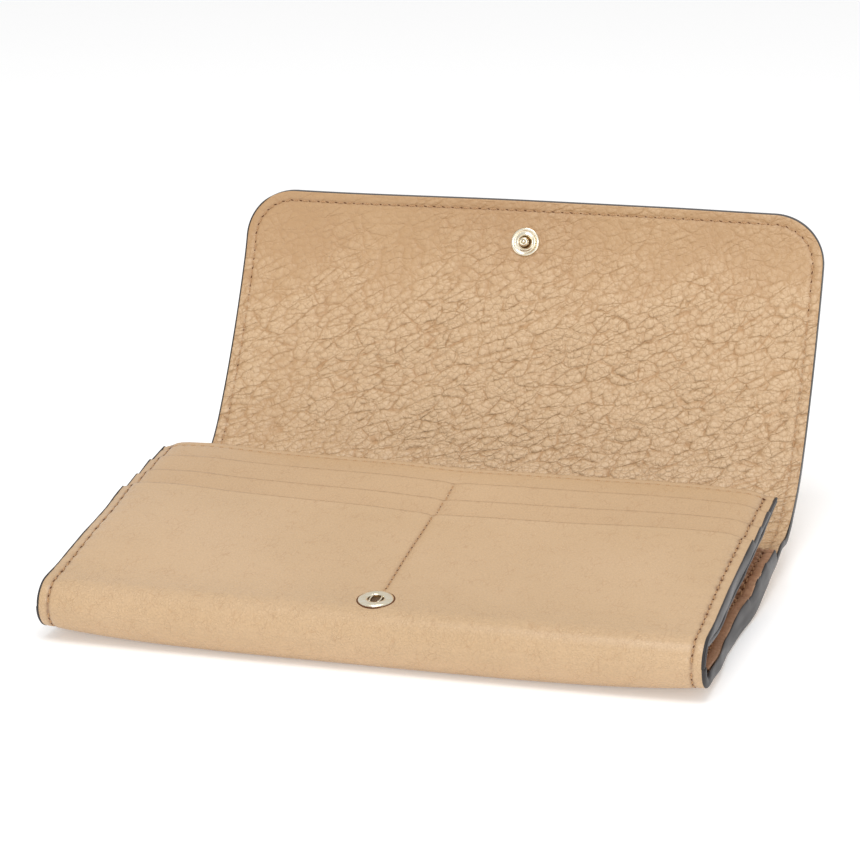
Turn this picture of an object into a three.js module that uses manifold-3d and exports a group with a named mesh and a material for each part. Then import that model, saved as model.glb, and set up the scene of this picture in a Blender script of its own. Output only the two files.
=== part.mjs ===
// A long leather wallet lying on a table with its flap standing open.
// Millimetres, +Z up. X runs along the folds, and the card pockets' mouths face +Y.
// The wallet is drawn from its side, as outlines in the Y-Z plane carried across its width.
// The last step moves the group so that its origin is at the middle of its footprint.

import * as THREE from 'three';
import { mergeVertices } from 'three/addons/utils/BufferGeometryUtils.js';
import Module from 'manifold-3d';

const wasm = await Module();
wasm.setup();

// ---------------------------------------------------------------- driving dimensions

const WIDTH = 190;
const FLAP_WIDTH = 189;
const GAP = 0.3;
const OUTER_LEATHER = 1.2;
const LINING = 0.7;
const DEG = Math.PI / 180;

// The round nose at the front, where the outer leather turns from the back panel to the front.
const NOSE_RADIUS = 8.75;
const NOSE_Y = 2.2;
const LOWER_FOLD_ANGLE = 225;
const UPPER_FOLD_ANGLE = 135;
const FOLD_GAP_ANGLE = 2.2;

// The front panel slopes up from the nose, and carries three rows of card pockets.
const PANEL_SLOPE = 7.5;
const PANEL_LENGTH = 95.5;
const MOUTHS = { face: 62, middle: 73, upper: 84 };
const STRIP_DEPTH = 38;
const STRIP = 0.6;
const BACKING_START = 14.5;
const PANEL_LINING_DROP = 12;

// The back panel lies on the table, and its inner card panel rises over the bill compartment.
const BACK_LENGTH = 97.2;
const INNER_SLOPE = 4.6;
const INNER_START = [6, 2.5];
const INNER_LENGTH = 90.5;
const INNER_FACE = 1.0;

// The spine rises behind the back panel, and the flap stands on it.
const SPINE_START = [98.3, 0.3];
const SPINE_SLOPE = 17;
const SPINE_LENGTH = 24;
const FLAP_START_GAP = 1.6;
const FLAP_HEADING = 30;
const FLAP_CURVE = [
  { length: 25, turn: 24 },
  { length: 55, turn: 11 },
  { length: 24, turn: 22 },
];
const CURVE_STEP = 4;
const FLAP_LEATHER = 1.1;
const FLAP_BOARD = 0.4;
const FLAP_LINING = 0.9;
const FLAP_CORNER = 16;
const BOARD_INSET = 6;

// The snap: its socket is on the front panel and its stud is on the flap.
const SOCKET_FROM_NOSE = 5.2;
const SOCKET_RADIUS = 5;
const SOCKET_HOLE = 2.2;
const SOCKET_TOP = 0.6;
const SOCKET_BOTTOM = -1;
const SPRING_RADIUS = 2.75;
const SPRING_WIRE = 0.3;
const STUD_FROM_TIP = 13.5;
const STUD_RADIUS = 4.6;
const STUD_HEIGHT = 3;
const STUD_BALL = 1.45;
const ROUND_SEGMENTS = 40;

// ---------------------------------------------------------------- materials

const LEATHER = { color: 0xd9b17c, roughness: 0.6, metalness: 0 };
const LINING_LEATHER = { color: 0xd3a873, roughness: 0.62, metalness: 0 };
const BOARD = { color: 0x8a6f52, roughness: 0.9, metalness: 0 };
const GOLD = { color: 0xd8c08a, roughness: 0.25, metalness: 1 };

// ---------------------------------------------------------------- helpers

const wallet = new THREE.Group();

function addPiece(name, geometry, look, parent = wallet) {
  const mesh = new THREE.Mesh(geometry, new THREE.MeshStandardMaterial(look));
  mesh.name = name;
  parent.add(mesh);
  return mesh;
}

// Carries an outline drawn in (y, z) across the width, centred on x = 0.
function acrossWidth(outline, width) {
  const geometry = new THREE.ExtrudeGeometry(outline, {
    depth: width,
    bevelEnabled: false,
    curveSegments: 8,
  });
  geometry.translate(0, 0, -width / 2);
  const yAxis = new THREE.Vector3(0, 1, 0);
  const zAxis = new THREE.Vector3(0, 0, 1);
  const xAxis = new THREE.Vector3(1, 0, 0);
  return geometry.applyMatrix4(new THREE.Matrix4().makeBasis(yAxis, zAxis, xAxis));
}

function outlineOf(points) {
  return new THREE.Shape(points.map(([y, z]) => new THREE.Vector2(y, z)));
}

// A flat layer of a panel, from start to end along it and from low to high through it.
function flatLayer(start, end, low, high) {
  return outlineOf([[start, low], [end, low], [end, high], [start, high]]);
}

// The part of the nose between two angles, from one depth under its outside to another.
function noseBand(fromAngle, toAngle, outerDepth, innerDepth) {
  const band = new THREE.Shape();
  const outer = NOSE_RADIUS - outerDepth;
  const inner = NOSE_RADIUS - innerDepth;
  band.absarc(NOSE_Y, NOSE_RADIUS, outer, fromAngle * DEG, toAngle * DEG, true);
  band.absarc(NOSE_Y, NOSE_RADIUS, inner, toAngle * DEG, fromAngle * DEG, false);
  return band;
}

// The points of a curved layer, at a height over a path that turns by each arc in order.
function pathPoints(start, heading, arcs, height) {
  const points = [];
  let [y, z] = start;
  let angle = heading * DEG;
  const put = () => {
    points.push([y - height * Math.sin(angle), z + height * Math.cos(angle)]);
  };
  put();
  for (const arc of arcs) {
    const steps = Math.ceil(arc.length / CURVE_STEP);
    const turn = (arc.turn * DEG) / steps;
    for (let i = 0; i < steps; i += 1) {
      const middle = angle + turn / 2;
      y += (arc.length / steps) * Math.cos(middle);
      z += (arc.length / steps) * Math.sin(middle);
      angle += turn;
      put();
    }
  }
  return points;
}

function curvedLayer(start, heading, arcs, low, high) {
  const under = pathPoints(start, heading, arcs, low);
  const over = pathPoints(start, heading, arcs, high);
  return outlineOf([...under, ...over.reverse()]);
}

function toSolid(geometry) {
  const bare = new THREE.BufferGeometry();
  bare.setAttribute('position', geometry.getAttribute('position').clone());
  if (geometry.index) bare.setIndex(geometry.index.clone());
  const merged = mergeVertices(bare, 1e-4);
  return new wasm.Manifold(new wasm.Mesh({
    numProp: 3,
    vertProperties: new Float32Array(merged.getAttribute('position').array),
    triVerts: new Uint32Array(merged.index.array),
  }));
}

function toGeometry(solid) {
  const mesh = solid.getMesh();
  const geometry = new THREE.BufferGeometry();
  geometry.setAttribute('position', new THREE.BufferAttribute(mesh.vertProperties, 3));
  geometry.setIndex(new THREE.BufferAttribute(mesh.triVerts, 1));
  geometry.computeVertexNormals();
  return geometry;
}

function cut(geometry, tool) {
  return toGeometry(toSolid(geometry).subtract(toSolid(tool)));
}

function keepInside(geometry, tool) {
  return toGeometry(toSolid(geometry).intersect(toSolid(tool)));
}

// A round piece turned about the z axis, from points given as [radius, height].
function turned(points) {
  const profile = points.map(([radius, height]) => new THREE.Vector2(radius, height));
  if (THREE.ShapeUtils.isClockWise(profile)) profile.reverse();
  const geometry = new THREE.LatheGeometry(profile, ROUND_SEGMENTS);
  return toGeometry(toSolid(geometry.rotateX(Math.PI / 2)));
}

// ---------------------------------------------------------------- back panel

function addBackPanel() {
  const end = LOWER_FOLD_ANGLE + FOLD_GAP_ANGLE;
  const outer = noseBand(270, end, 0, OUTER_LEATHER);
  outer.lineTo(BACK_LENGTH, OUTER_LEATHER);
  outer.lineTo(BACK_LENGTH, 0);
  addPiece('back_outer_leather', acrossWidth(outer, WIDTH), LEATHER);

  const top = OUTER_LEATHER + GAP;
  const lining = noseBand(270, end, top, top + LINING);
  lining.lineTo(BACK_LENGTH, top + LINING);
  lining.lineTo(BACK_LENGTH, top);
  addPiece('back_lining', acrossWidth(lining, WIDTH), LINING_LEATHER);
}

// The inner card panel, its layers stacked upwards. Lower rows lie over the rows above them.
function addInnerCardPanel() {
  const panel = new THREE.Group();
  panel.position.set(0, INNER_START[0], INNER_START[1]);
  panel.rotation.x = INNER_SLOPE * DEG;
  wallet.add(panel);
  const layers = [
    ['inner_card_backing', 0, INNER_LENGTH, LINING],
    ['inner_card_strip_upper', MOUTHS.upper - STRIP_DEPTH, MOUTHS.upper, STRIP],
    ['inner_card_strip_middle', MOUTHS.middle - STRIP_DEPTH, MOUTHS.middle, STRIP],
    ['inner_face_leather', INNER_START[0], MOUTHS.face, INNER_FACE],
  ];
  let height = 0;
  for (const [name, start, end, thickness] of layers) {
    const from = Math.max(start - INNER_START[0], 0);
    const to = name === 'inner_card_backing' ? end : end - INNER_START[0];
    const layer = flatLayer(from, to, height, height + thickness);
    addPiece(name, acrossWidth(layer, WIDTH), LINING_LEATHER, panel);
    height += thickness + GAP;
  }
}

// ---------------------------------------------------------------- nose and front panel

function addNose() {
  const low = LOWER_FOLD_ANGLE - FOLD_GAP_ANGLE;
  const high = UPPER_FOLD_ANGLE + FOLD_GAP_ANGLE;
  const under = OUTER_LEATHER + GAP;
  const outer = noseBand(low, high, 0, OUTER_LEATHER);
  const lining = noseBand(low, high, under, under + LINING);
  addPiece('fold_outer_leather', acrossWidth(outer, WIDTH), LEATHER);
  addPiece('fold_lining', acrossWidth(lining, WIDTH), LINING_LEATHER);
}

// The front panel's own frame: its origin is where the nose meets the slope, its y axis runs
// along the slope to the free edge, and its z axis stands on the outer surface.
function makePanelFrame() {
  const panel = new THREE.Group();
  const y = NOSE_Y - NOSE_RADIUS * Math.sin(PANEL_SLOPE * DEG);
  const z = NOSE_RADIUS + NOSE_RADIUS * Math.cos(PANEL_SLOPE * DEG);
  panel.position.set(0, y, z);
  panel.rotation.x = PANEL_SLOPE * DEG;
  wallet.add(panel);
  return panel;
}

// The outer leather comes over the nose and ends as the mouth of the lowest card pockets.
function addFrontFace(panel) {
  const start = UPPER_FOLD_ANGLE - FOLD_GAP_ANGLE - PANEL_SLOPE;
  const face = new THREE.Shape();
  const inner = NOSE_RADIUS - OUTER_LEATHER;
  face.absarc(0, -NOSE_RADIUS, NOSE_RADIUS, start * DEG, 90 * DEG, true);
  face.lineTo(MOUTHS.face, 0);
  face.lineTo(MOUTHS.face, -OUTER_LEATHER);
  face.absarc(0, -NOSE_RADIUS, inner, 90 * DEG, start * DEG, false);
  const depth = 4 * OUTER_LEATHER;
  const radius = SOCKET_RADIUS + GAP;
  const hole = new THREE.CylinderGeometry(radius, radius, depth, ROUND_SEGMENTS);
  hole.rotateX(Math.PI / 2);
  hole.translate(0, SOCKET_FROM_NOSE, 0);
  const geometry = cut(acrossWidth(face, WIDTH), hole);
  addPiece('front_face_leather', geometry, LEATHER, panel);
}

function addFrontCardPanel(panel) {
  let height = -OUTER_LEATHER - GAP;
  for (const row of ['middle', 'upper']) {
    const mouth = MOUTHS[row];
    const strip = flatLayer(mouth - STRIP_DEPTH, mouth, height - STRIP, height);
    addPiece(`front_card_strip_${row}`, acrossWidth(strip, WIDTH), LEATHER, panel);
    height -= STRIP + GAP;
  }
  const backing = flatLayer(BACKING_START, PANEL_LENGTH, height - LINING, height);
  addPiece('front_card_backing', acrossWidth(backing, WIDTH), LEATHER, panel);

  // The slip pocket's lining starts just under the snap and drops below the card layers.
  const top = height - LINING - GAP;
  const start = 2 * -OUTER_LEATHER;
  const lining = outlineOf([
    [0, start],
    [0, start - LINING],
    [PANEL_LINING_DROP, top - LINING],
    [PANEL_LENGTH, top - LINING],
    [PANEL_LENGTH, top],
    [PANEL_LINING_DROP, top],
  ]);
  addPiece('front_lining', acrossWidth(lining, WIDTH), LINING_LEATHER, panel);
}

// ---------------------------------------------------------------- spine and flap

function spineEnd() {
  const [y, z] = SPINE_START;
  const slope = SPINE_SLOPE * DEG;
  return [y + SPINE_LENGTH * Math.cos(slope), z + SPINE_LENGTH * Math.sin(slope)];
}

function addSpine() {
  const straight = [{ length: SPINE_LENGTH, turn: 0 }];
  const under = OUTER_LEATHER + GAP;
  const outer = curvedLayer(SPINE_START, SPINE_SLOPE, straight, 0, OUTER_LEATHER);
  const lining = curvedLayer(SPINE_START, SPINE_SLOPE, straight, under, under + LINING);
  addPiece('spine_outer_leather', acrossWidth(outer, FLAP_WIDTH), LEATHER);
  addPiece('spine_lining', acrossWidth(lining, FLAP_WIDTH), LINING_LEATHER);
}

function flapStart() {
  const [y, z] = spineEnd();
  const heading = SPINE_SLOPE * DEG;
  return [y + FLAP_START_GAP * Math.cos(heading), z + FLAP_START_GAP * Math.sin(heading)];
}

// The flap's outline seen from the front, with round free corners, carried through along y.
function flapOutline(inset) {
  const [, top] = pathPoints(flapStart(), FLAP_HEADING, FLAP_CURVE, 0).at(-1);
  const half = FLAP_WIDTH / 2 - inset;
  const high = top - inset;
  const radius = FLAP_CORNER - inset;
  const low = -1;
  const outline = new THREE.Shape();
  outline.moveTo(-half, low);
  outline.lineTo(half, low);
  outline.lineTo(half, high - radius);
  outline.absarc(half - radius, high - radius, radius, 0, Math.PI / 2, false);
  outline.lineTo(radius - half, high);
  outline.absarc(radius - half, high - radius, radius, Math.PI / 2, Math.PI, false);
  const depth = 2 * WIDTH;
  const geometry = new THREE.ExtrudeGeometry(outline, {
    depth,
    bevelEnabled: false,
    curveSegments: 8,
  });
  geometry.rotateX(Math.PI / 2);
  return geometry.translate(0, depth, 0);
}

function flapLayer(low, high, inset) {
  const outline = curvedLayer(flapStart(), FLAP_HEADING, FLAP_CURVE, low, high);
  return keepInside(acrossWidth(outline, FLAP_WIDTH), flapOutline(inset));
}

// The flap's inner surface at a distance from its free edge: a point, and its slope there.
function onFlapInside(fromTip) {
  const height = FLAP_LEATHER + FLAP_BOARD + FLAP_LINING + 2 * GAP;
  const last = FLAP_CURVE.at(-1);
  const before = FLAP_CURVE.slice(0, -1);
  const share = 1 - fromTip / last.length;
  const arcs = [...before, { length: last.length * share, turn: last.turn * share }];
  const [y, z] = pathPoints(flapStart(), FLAP_HEADING, arcs, height).at(-1);
  const turns = arcs.reduce((sum, arc) => sum + arc.turn, 0);
  return { y, z, heading: FLAP_HEADING + turns };
}

// The stud's own frame, with its z axis standing on the flap's inner surface.
function makeStudFrame() {
  const place = onFlapInside(STUD_FROM_TIP);
  const frame = new THREE.Group();
  frame.position.set(0, place.y, place.z);
  frame.rotation.x = place.heading * DEG;
  wallet.add(frame);
  frame.updateMatrix();
  return frame;
}

function addFlap(stud) {
  const boardLow = FLAP_LEATHER + GAP;
  const liningLow = boardLow + FLAP_BOARD + GAP;
  addPiece('flap_outer_leather', flapLayer(0, FLAP_LEATHER, 0), LEATHER);
  const rivetRoom = new THREE.CylinderGeometry(STUD_RADIUS, STUD_RADIUS, STUD_RADIUS);
  rivetRoom.rotateX(Math.PI / 2).applyMatrix4(stud.matrix);
  const board = cut(flapLayer(boardLow, boardLow + FLAP_BOARD, BOARD_INSET), rivetRoom);
  addPiece('flap_board', board, BOARD);
  const hole = new THREE.CylinderGeometry(STUD_BALL, STUD_BALL, STUD_RADIUS);
  hole.rotateX(Math.PI / 2).applyMatrix4(stud.matrix);
  const lining = cut(flapLayer(liningLow, liningLow + FLAP_LINING, 0), hole);
  addPiece('flap_lining', lining, LINING_LEATHER);
}

// ---------------------------------------------------------------- snap fastener

// The socket is a ring with a groove inside it, where the spring lies round the hole.
function addSocket(panel) {
  const wall = 1.2;
  const lip = 0.35;
  const socket = turned([
    [SOCKET_HOLE, SOCKET_TOP - 0.15],
    [SOCKET_HOLE + 0.3, SOCKET_TOP],
    [SOCKET_RADIUS - 0.5, SOCKET_TOP],
    [SOCKET_RADIUS, SOCKET_TOP - 0.4],
    [SOCKET_RADIUS, GAP / 2],
    [SOCKET_RADIUS - 0.3, SOCKET_BOTTOM],
    [SOCKET_HOLE, SOCKET_BOTTOM],
    [SOCKET_HOLE, SOCKET_BOTTOM + lip],
    [SOCKET_RADIUS - wall, SOCKET_BOTTOM + lip],
    [SOCKET_RADIUS - wall, SOCKET_TOP - lip],
    [SOCKET_HOLE, SOCKET_TOP - lip],
    [SOCKET_HOLE, SOCKET_TOP - 0.15],
  ]);
  addPiece('snap_socket', socket, GOLD, panel).position.y = SOCKET_FROM_NOSE;

  const wire = new THREE.TorusGeometry(SPRING_RADIUS, SPRING_WIRE, 8, ROUND_SEGMENTS);
  const spring = addPiece('socket_spring', wire, GOLD, panel);
  spring.position.set(0, SOCKET_FROM_NOSE, (SOCKET_TOP + SOCKET_BOTTOM) / 2);

  // The eyelet holds the socket from below: a flange, and a tube up through the hole.
  const tube = SOCKET_HOLE - GAP;
  const bore = tube - 0.5;
  const eyelet = turned([
    [bore, SOCKET_BOTTOM + 0.6],
    [tube, SOCKET_BOTTOM + 0.6],
    [tube, SOCKET_BOTTOM - GAP],
    [STUD_RADIUS, SOCKET_BOTTOM - GAP],
    [STUD_RADIUS, SOCKET_BOTTOM - GAP - 0.4],
    [bore, SOCKET_BOTTOM - GAP - 0.4],
    [bore, SOCKET_BOTTOM + 0.6],
  ]);
  addPiece('socket_eyelet', eyelet, GOLD, panel).position.y = SOCKET_FROM_NOSE;
}

// The stud has ring steps on its flange and a ball on a neck, with the rivet's bore below.
function addStud(frame) {
  const bore = 0.7;
  const neck = 1.05;
  const floor = GAP;
  const profile = [
    [bore, floor],
    [STUD_RADIUS, floor],
    [STUD_RADIUS, 0.55],
    [STUD_RADIUS - 0.4, 0.8],
    [STUD_RADIUS - 1.3, 0.65],
    [STUD_RADIUS - 1.9, 0.95],
    [neck + 0.4, 0.9],
    [neck, 1.2],
    [neck, STUD_HEIGHT - 1.4],
    [STUD_BALL, STUD_HEIGHT - 0.8],
    [STUD_BALL, STUD_HEIGHT - 0.5],
    [neck - 0.1, STUD_HEIGHT],
    [0, STUD_HEIGHT],
    [0, STUD_HEIGHT - 0.6],
    [bore, STUD_HEIGHT - 0.6],
    [bore, floor],
  ];
  addPiece('snap_stud', turned(profile), GOLD, frame);

  const head = -(FLAP_LINING + GAP);
  const shank = bore - GAP;
  const rivet = turned([
    [0, head - 0.35],
    [STUD_RADIUS - 1, head - 0.35],
    [STUD_RADIUS - 1, head],
    [shank, head],
    [shank, 1.6],
    [0, 1.6],
  ]);
  addPiece('stud_rivet', rivet, GOLD, frame);
}

// ---------------------------------------------------------------- the whole wallet

addBackPanel();
addInnerCardPanel();
addNose();
const frontPanel = makePanelFrame();
addFrontFace(frontPanel);
addFrontCardPanel(frontPanel);
addSocket(frontPanel);
addSpine();
const studFrame = makeStudFrame();
addFlap(studFrame);
addStud(studFrame);

const middle = new THREE.Box3().setFromObject(wallet).getCenter(new THREE.Vector3());
wallet.position.y = -middle.y;

export default wallet;
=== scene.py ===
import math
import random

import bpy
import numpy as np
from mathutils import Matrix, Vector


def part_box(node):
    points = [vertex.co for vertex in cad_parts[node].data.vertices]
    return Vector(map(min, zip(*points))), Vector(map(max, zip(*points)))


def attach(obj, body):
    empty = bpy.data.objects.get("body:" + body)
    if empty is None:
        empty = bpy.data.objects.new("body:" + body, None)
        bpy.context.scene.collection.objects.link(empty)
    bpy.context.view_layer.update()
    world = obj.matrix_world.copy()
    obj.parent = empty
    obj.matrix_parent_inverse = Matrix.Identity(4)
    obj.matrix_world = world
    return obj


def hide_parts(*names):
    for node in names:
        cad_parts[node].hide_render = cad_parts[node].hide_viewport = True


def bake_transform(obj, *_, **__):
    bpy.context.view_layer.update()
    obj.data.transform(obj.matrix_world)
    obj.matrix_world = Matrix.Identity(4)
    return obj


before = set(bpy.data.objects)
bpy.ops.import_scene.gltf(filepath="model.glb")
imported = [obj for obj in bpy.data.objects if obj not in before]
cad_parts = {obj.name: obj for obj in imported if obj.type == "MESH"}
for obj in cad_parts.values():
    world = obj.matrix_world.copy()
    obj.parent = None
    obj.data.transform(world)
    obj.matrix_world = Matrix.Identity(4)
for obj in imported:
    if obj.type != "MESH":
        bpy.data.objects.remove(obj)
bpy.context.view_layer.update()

# The looks of a long leather wallet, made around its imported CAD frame.
# Shapes are worked out in millimetres in the wallet's own measures, where y runs from the round
# nose and z from the table, and put_in_frame() turns them into metres in the CAD frame.
# Every sheet of leather is laid on one of three surfaces: shell() runs from the nose under the
# wallet to the flap's tip, front() runs from the nose up the front panel, and inner() is the card
# panel inside. Each takes x, a distance along the surface, and a height over it.

MM = 0.001
DEG = math.pi / 180

# ---------------- the CAD's driving dimensions

HALF_WIDTH = 95.0
HALF_FLAP = 94.5
GAP = 0.3
OUTER_LEATHER = 1.2
LINING = 0.7
NOSE_RADIUS = 8.75
NOSE_Y = 2.2
LOWER_HINGE_ANGLE = 225
UPPER_HINGE_ANGLE = 135
PANEL_SLOPE = 7.5
PANEL_LENGTH = 95.5
FACE_MOUTH, MIDDLE_MOUTH, UPPER_MOUTH = 62.0, 73.0, 84.0
STRIP_DEPTH = 38.0
STRIP = 0.6
BACKING_START = 14.5
PANEL_LINING_DROP = 12.0
INNER_SLOPE = 4.6
INNER_START = (6.0, 2.5)
INNER_LENGTH = 90.5
INNER_FACE = 1.0
SPINE_START = (98.3, 0.3)
SPINE_SLOPE = 17.0
SPINE_LENGTH = 24.0
FLAP_START_GAP = 1.6
FLAP_HEADING = 30.0
FLAP_CURVE = [(25.0, 24.0), (55.0, 11.0), (24.0, 22.0)]
FLAP_LEATHER = 1.1
FLAP_BOARD = 0.4
FLAP_LINING = 0.9
FLAP_CORNER = 16.0
# The flap's board: how far it starts past the fold and stays inside the outline, and how far past
# the fold the lining has come up to lie over it.
BOARD_START, BOARD_INSET, BOARD_RISE = 4, 6.0, 6
SOCKET_FROM_NOSE = 5.2
STUD_FROM_TIP = 13.5
SOCKET_RADIUS = 5.0

ORIGIN_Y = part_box("fold_outer_leather")[0].y / MM - (NOSE_Y - NOSE_RADIUS)

# ---------------- softness, seams and edges

NOSE_LIFT = 2.9
NOSE_PULL = 0.8
NOSE_SHIFT = 0.7
BACK_TUCK = 0.012
MIDDLE_LIFT = 0.5
FLAP_RISE = 0.8
FLAP_TUCK = 0.5
CORNER_LIFT = 5.9
CORNER_DROP = 0.62
LIFT_POWER = 4
OVERHANG = 1.03
# Where each of these comes in and goes, along the wallet from the nose.
NOSE_LIFT_ENDS = (2, 42)
MIDDLE_LIFT_STARTS = (20, 42)
CORNER_LIFT_STARTS = (60, 100)
CORNER_DROP_STARTS = (104, 117)
CORNER_LIFT_ENDS = (118, 150)
TUCK_STARTS, TUCK_ENDS = (14, 34), (52, 74)
NOSE_SHIFT_ENDS = (0, 40)
FRONT_NOSE_LIFT_ENDS = (0, 12)
TOP_RISE_STARTS = (56, 92)
SQUEEZE_ENDS = (60, 70)
# Where they come in and go across it, from the middle to the right.
FLAP_RISE_STARTS, FLAP_RISE_FALLS, FLAP_RISE_FALL = (-80, 0), (40, 94), 0.8
FLAP_TUCK_STARTS = (20, 94)
# How far the front panel stands over its flat plane, from the left side to the right.
PILLOW = [(-95, 0.6), (-90, 2.4), (-82, 3.0), (-60, 2.0), (-39, 1.3), (-20, 0.8), (0, -0.3),
          (20, 0.0), (45, 0.5), (62, 1.3), (80, 1.6), (88, 1.3), (95, -0.4)]
PILLOW_GROWTH = 20.0
# How much further it stands up towards its free edge.
TOP_RISE = [(-95, 2.0), (-50, 2.6), (0, 3.4), (40, 3.2), (95, 1.7)]
# How far the inner panel's sides are pressed down or stand up, along it.
INNER_SIDE = [(6, 1.3), (20, -0.6), (32, -1.6), (50, -1.2), (60, -1.9), (70, 0.6), (96, 1.7)]
INNER_SIDE_POWER = 5
INNER_SQUEEZE = 0.75

SEAM_INSET = 3.1
TOP_SEAM_INSET = 2.4
SEAM_DEPTH = 0.3
FLAP_SEAM_DEPTH = 0.2
SEAM_WIDTH = 0.75
STITCH_PITCH = 3.0
STITCH_LENGTH = 2.0
THREAD_RADIUS = 0.25
STITCH_SLANT = 7 * DEG
HOLE_LENGTH = 0.62
HOLE_WIDTH = 0.25
# How dark the deepest grooves are painted: pressed leather and painted shade in them.
SEAM_STAIN_AND_SHADE = 0.8
MOUTH_DARK_WIDTH = 0.6
CENTRE_SEAM_X = 0.8
CENTRE_SEAM_LEAN = 1.2
SEAM_DIP, SEAM_DIP_WIDTH = 0.45, 2.0
SOCKET_X = 1.4
STUD_X = -0.9
SOCKET_DROP = 1.5
PAINT_BULGE = 0.45
FLAP_PAINT_BULGE = 0.22
PAINT_TUCK = 0.5
# How far the paint stays under the leather's face, and stands over it at the nose.
PAINT_SINK, PAINT_LIP = 0.35, 0.3
# Bulges of the painted edges: the size, and how much it wavers.
BACK_BULGE, BACK_BULGE_WAVE = 0.75, 0.13
FRONT_BULGES, FRONT_BULGE_WAVE, FRONT_HEIGHT_WAVE = {"left": 0.28, "right": 0.5}, 0.08, 0.05
SLIP_BULGE, SLIP_BULGE_WAVE, SLIP_DROOP = 0.5, 0.1, 0.2
FREE_BULGE, SLIP_FREE_BULGE, INNER_FREE_BULGE = 0.2, 0.3, 0.15
# How dark the mouths' edges and the backing's top edge are painted: partly burnish,
# # partly painted shade of the thin gap under each edge.
FACE_BURNISH_AND_SHADE, STRIP_BURNISH_AND_SHADE, TOP_BURNISH_AND_SHADE = 0.95, 0.65, 0.5
# Depths of the seams that aren't at a side.
FACE_CENTRE_DEPTH, STRIP_CENTRE_DEPTH, TOP_SEAM_DEPTH, INNER_TOP_DEPTH = 0.25, 0.2, 0.16, 0.25
# Puckers at the side seams: height, pitch along the seam and reach from it.
WRINKLE_HEIGHT, WRINKLE_PITCH, WRINKLE_REACH = 0.09, 5.2, 4.0
GATHER_HEIGHT, GATHER_PITCH, GATHER_REACH = 0.5, 2.7, 9.0
PEBBLE_HEIGHT = 0.24
THREAD_LIFT = 0.06
SEED = 7


# ---------------- paths and surfaces

def smooth(value, start, end):
    """0 before start, 1 after end, and an even S between them."""
    t = np.clip((np.asarray(value, float) - start) / (end - start), 0, 1)
    return t * t * (3 - 2 * t)


def through(points, value):
    """A smooth curve through a few points, with level ends."""
    px = np.array([p[0] for p in points], float)
    py = np.array([p[1] for p in points], float)
    slope = np.gradient(py, px)
    slope[0] = slope[-1] = 0
    v = np.clip(np.asarray(value, float), px[0], px[-1])
    i = np.clip(np.searchsorted(px, v) - 1, 0, len(px) - 2)
    width = px[i + 1] - px[i]
    t = (v - px[i]) / width
    rise = (1 + 2 * t) * (1 - t) ** 2 * py[i] + t * t * (3 - 2 * t) * py[i + 1]
    return rise + width * (t * (1 - t) ** 2 * slope[i] + t * t * (t - 1) * slope[i + 1])


def trace(start, heading, arcs, step=0.25):
    """Follows arcs, each a length and a turn in degrees, and keeps distance, y, z and angle."""
    rows = [(0.0, start[0], start[1], heading * DEG)]
    for length, turn in arcs:
        count = max(2, math.ceil(length / step))
        part, bend = length / count, turn * DEG / count
        for _ in range(count):
            s, y, z, angle = rows[-1]
            middle = angle + bend / 2
            rows.append((s + part, y + part * math.cos(middle), z + part * math.sin(middle),
                         angle + bend))
    return np.array(rows).T


def along(path, s):
    """y, z and angle at a distance along a path, carried straight on past its ends."""
    s = np.asarray(s, float)
    inside = np.clip(s, path[0][0], path[0][-1])
    y, z, angle = (np.interp(inside, path[0], path[i]) for i in (1, 2, 3))
    return y + (s - inside) * np.cos(angle), z + (s - inside) * np.sin(angle), angle


def shell_arcs():
    """The outer leather's run from the middle of the nose: under the wallet, spine and flap."""
    slope = SPINE_SLOPE * DEG
    corner = SPINE_START[0] - SPINE_START[1] / math.tan(slope)
    first_bend, second_bend = 5.0, 4.0
    first_reach = first_bend / slope * math.tan(slope / 2)
    to_flap = SPINE_START[1] / math.sin(slope) + SPINE_LENGTH + FLAP_START_GAP
    (length, turn), *rest = FLAP_CURVE
    used = second_bend / 2
    return [
        (NOSE_RADIUS * math.pi / 2, 90),
        (corner - NOSE_Y - first_reach, 0),
        (first_bend, SPINE_SLOPE),
        (to_flap - first_reach - used, 0),
        (second_bend, FLAP_HEADING - SPINE_SLOPE + turn * used / length),
        (length - used, turn * (1 - used / length)),
        *rest,
    ]


SHELL_ARCS = shell_arcs()
SHELL = trace((NOSE_Y - NOSE_RADIUS, NOSE_RADIUS), -90, SHELL_ARCS)
NOSE_ARC = SHELL_ARCS[0][0]
FRONT_ARC = NOSE_RADIUS * (90 - PANEL_SLOPE) * DEG
FRONT = trace((NOSE_Y - NOSE_RADIUS, NOSE_RADIUS), 90,
              [(FRONT_ARC, PANEL_SLOPE - 90), (PANEL_LENGTH, 0)])
LENGTHS = np.cumsum([length for length, _ in SHELL_ARCS])
SPINE_FOLD = (LENGTHS[1] + LENGTHS[2]) / 2
FLAP_FOLD = (LENGTHS[3] + LENGTHS[4]) / 2
FLAP_TIP = LENGTHS[-1]
BACK_STOPS_SHORT = 7.0
BACK_END = LENGTHS[1] - BACK_STOPS_SHORT
SPINE_MIDDLE = (SPINE_FOLD + FLAP_FOLD) / 2


def toward_ends(x, power=LIFT_POWER):
    return np.minimum(np.abs(x) / HALF_WIDTH, OVERHANG) ** power


def lift(x, y):
    """The soft wallet's corners stand a little off the table, at the nose and at the spine."""
    nose = NOSE_LIFT * (1 - smooth(y, *NOSE_LIFT_ENDS)) + MIDDLE_LIFT * smooth(y, *MIDDLE_LIFT_STARTS)
    corner = CORNER_LIFT * smooth(y, *CORNER_LIFT_STARTS)
    corner = corner * (1 - CORNER_DROP * smooth(y, *CORNER_DROP_STARTS))
    return toward_ends(x) * (nose + corner * (1 - smooth(y, *CORNER_LIFT_ENDS)))


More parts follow.
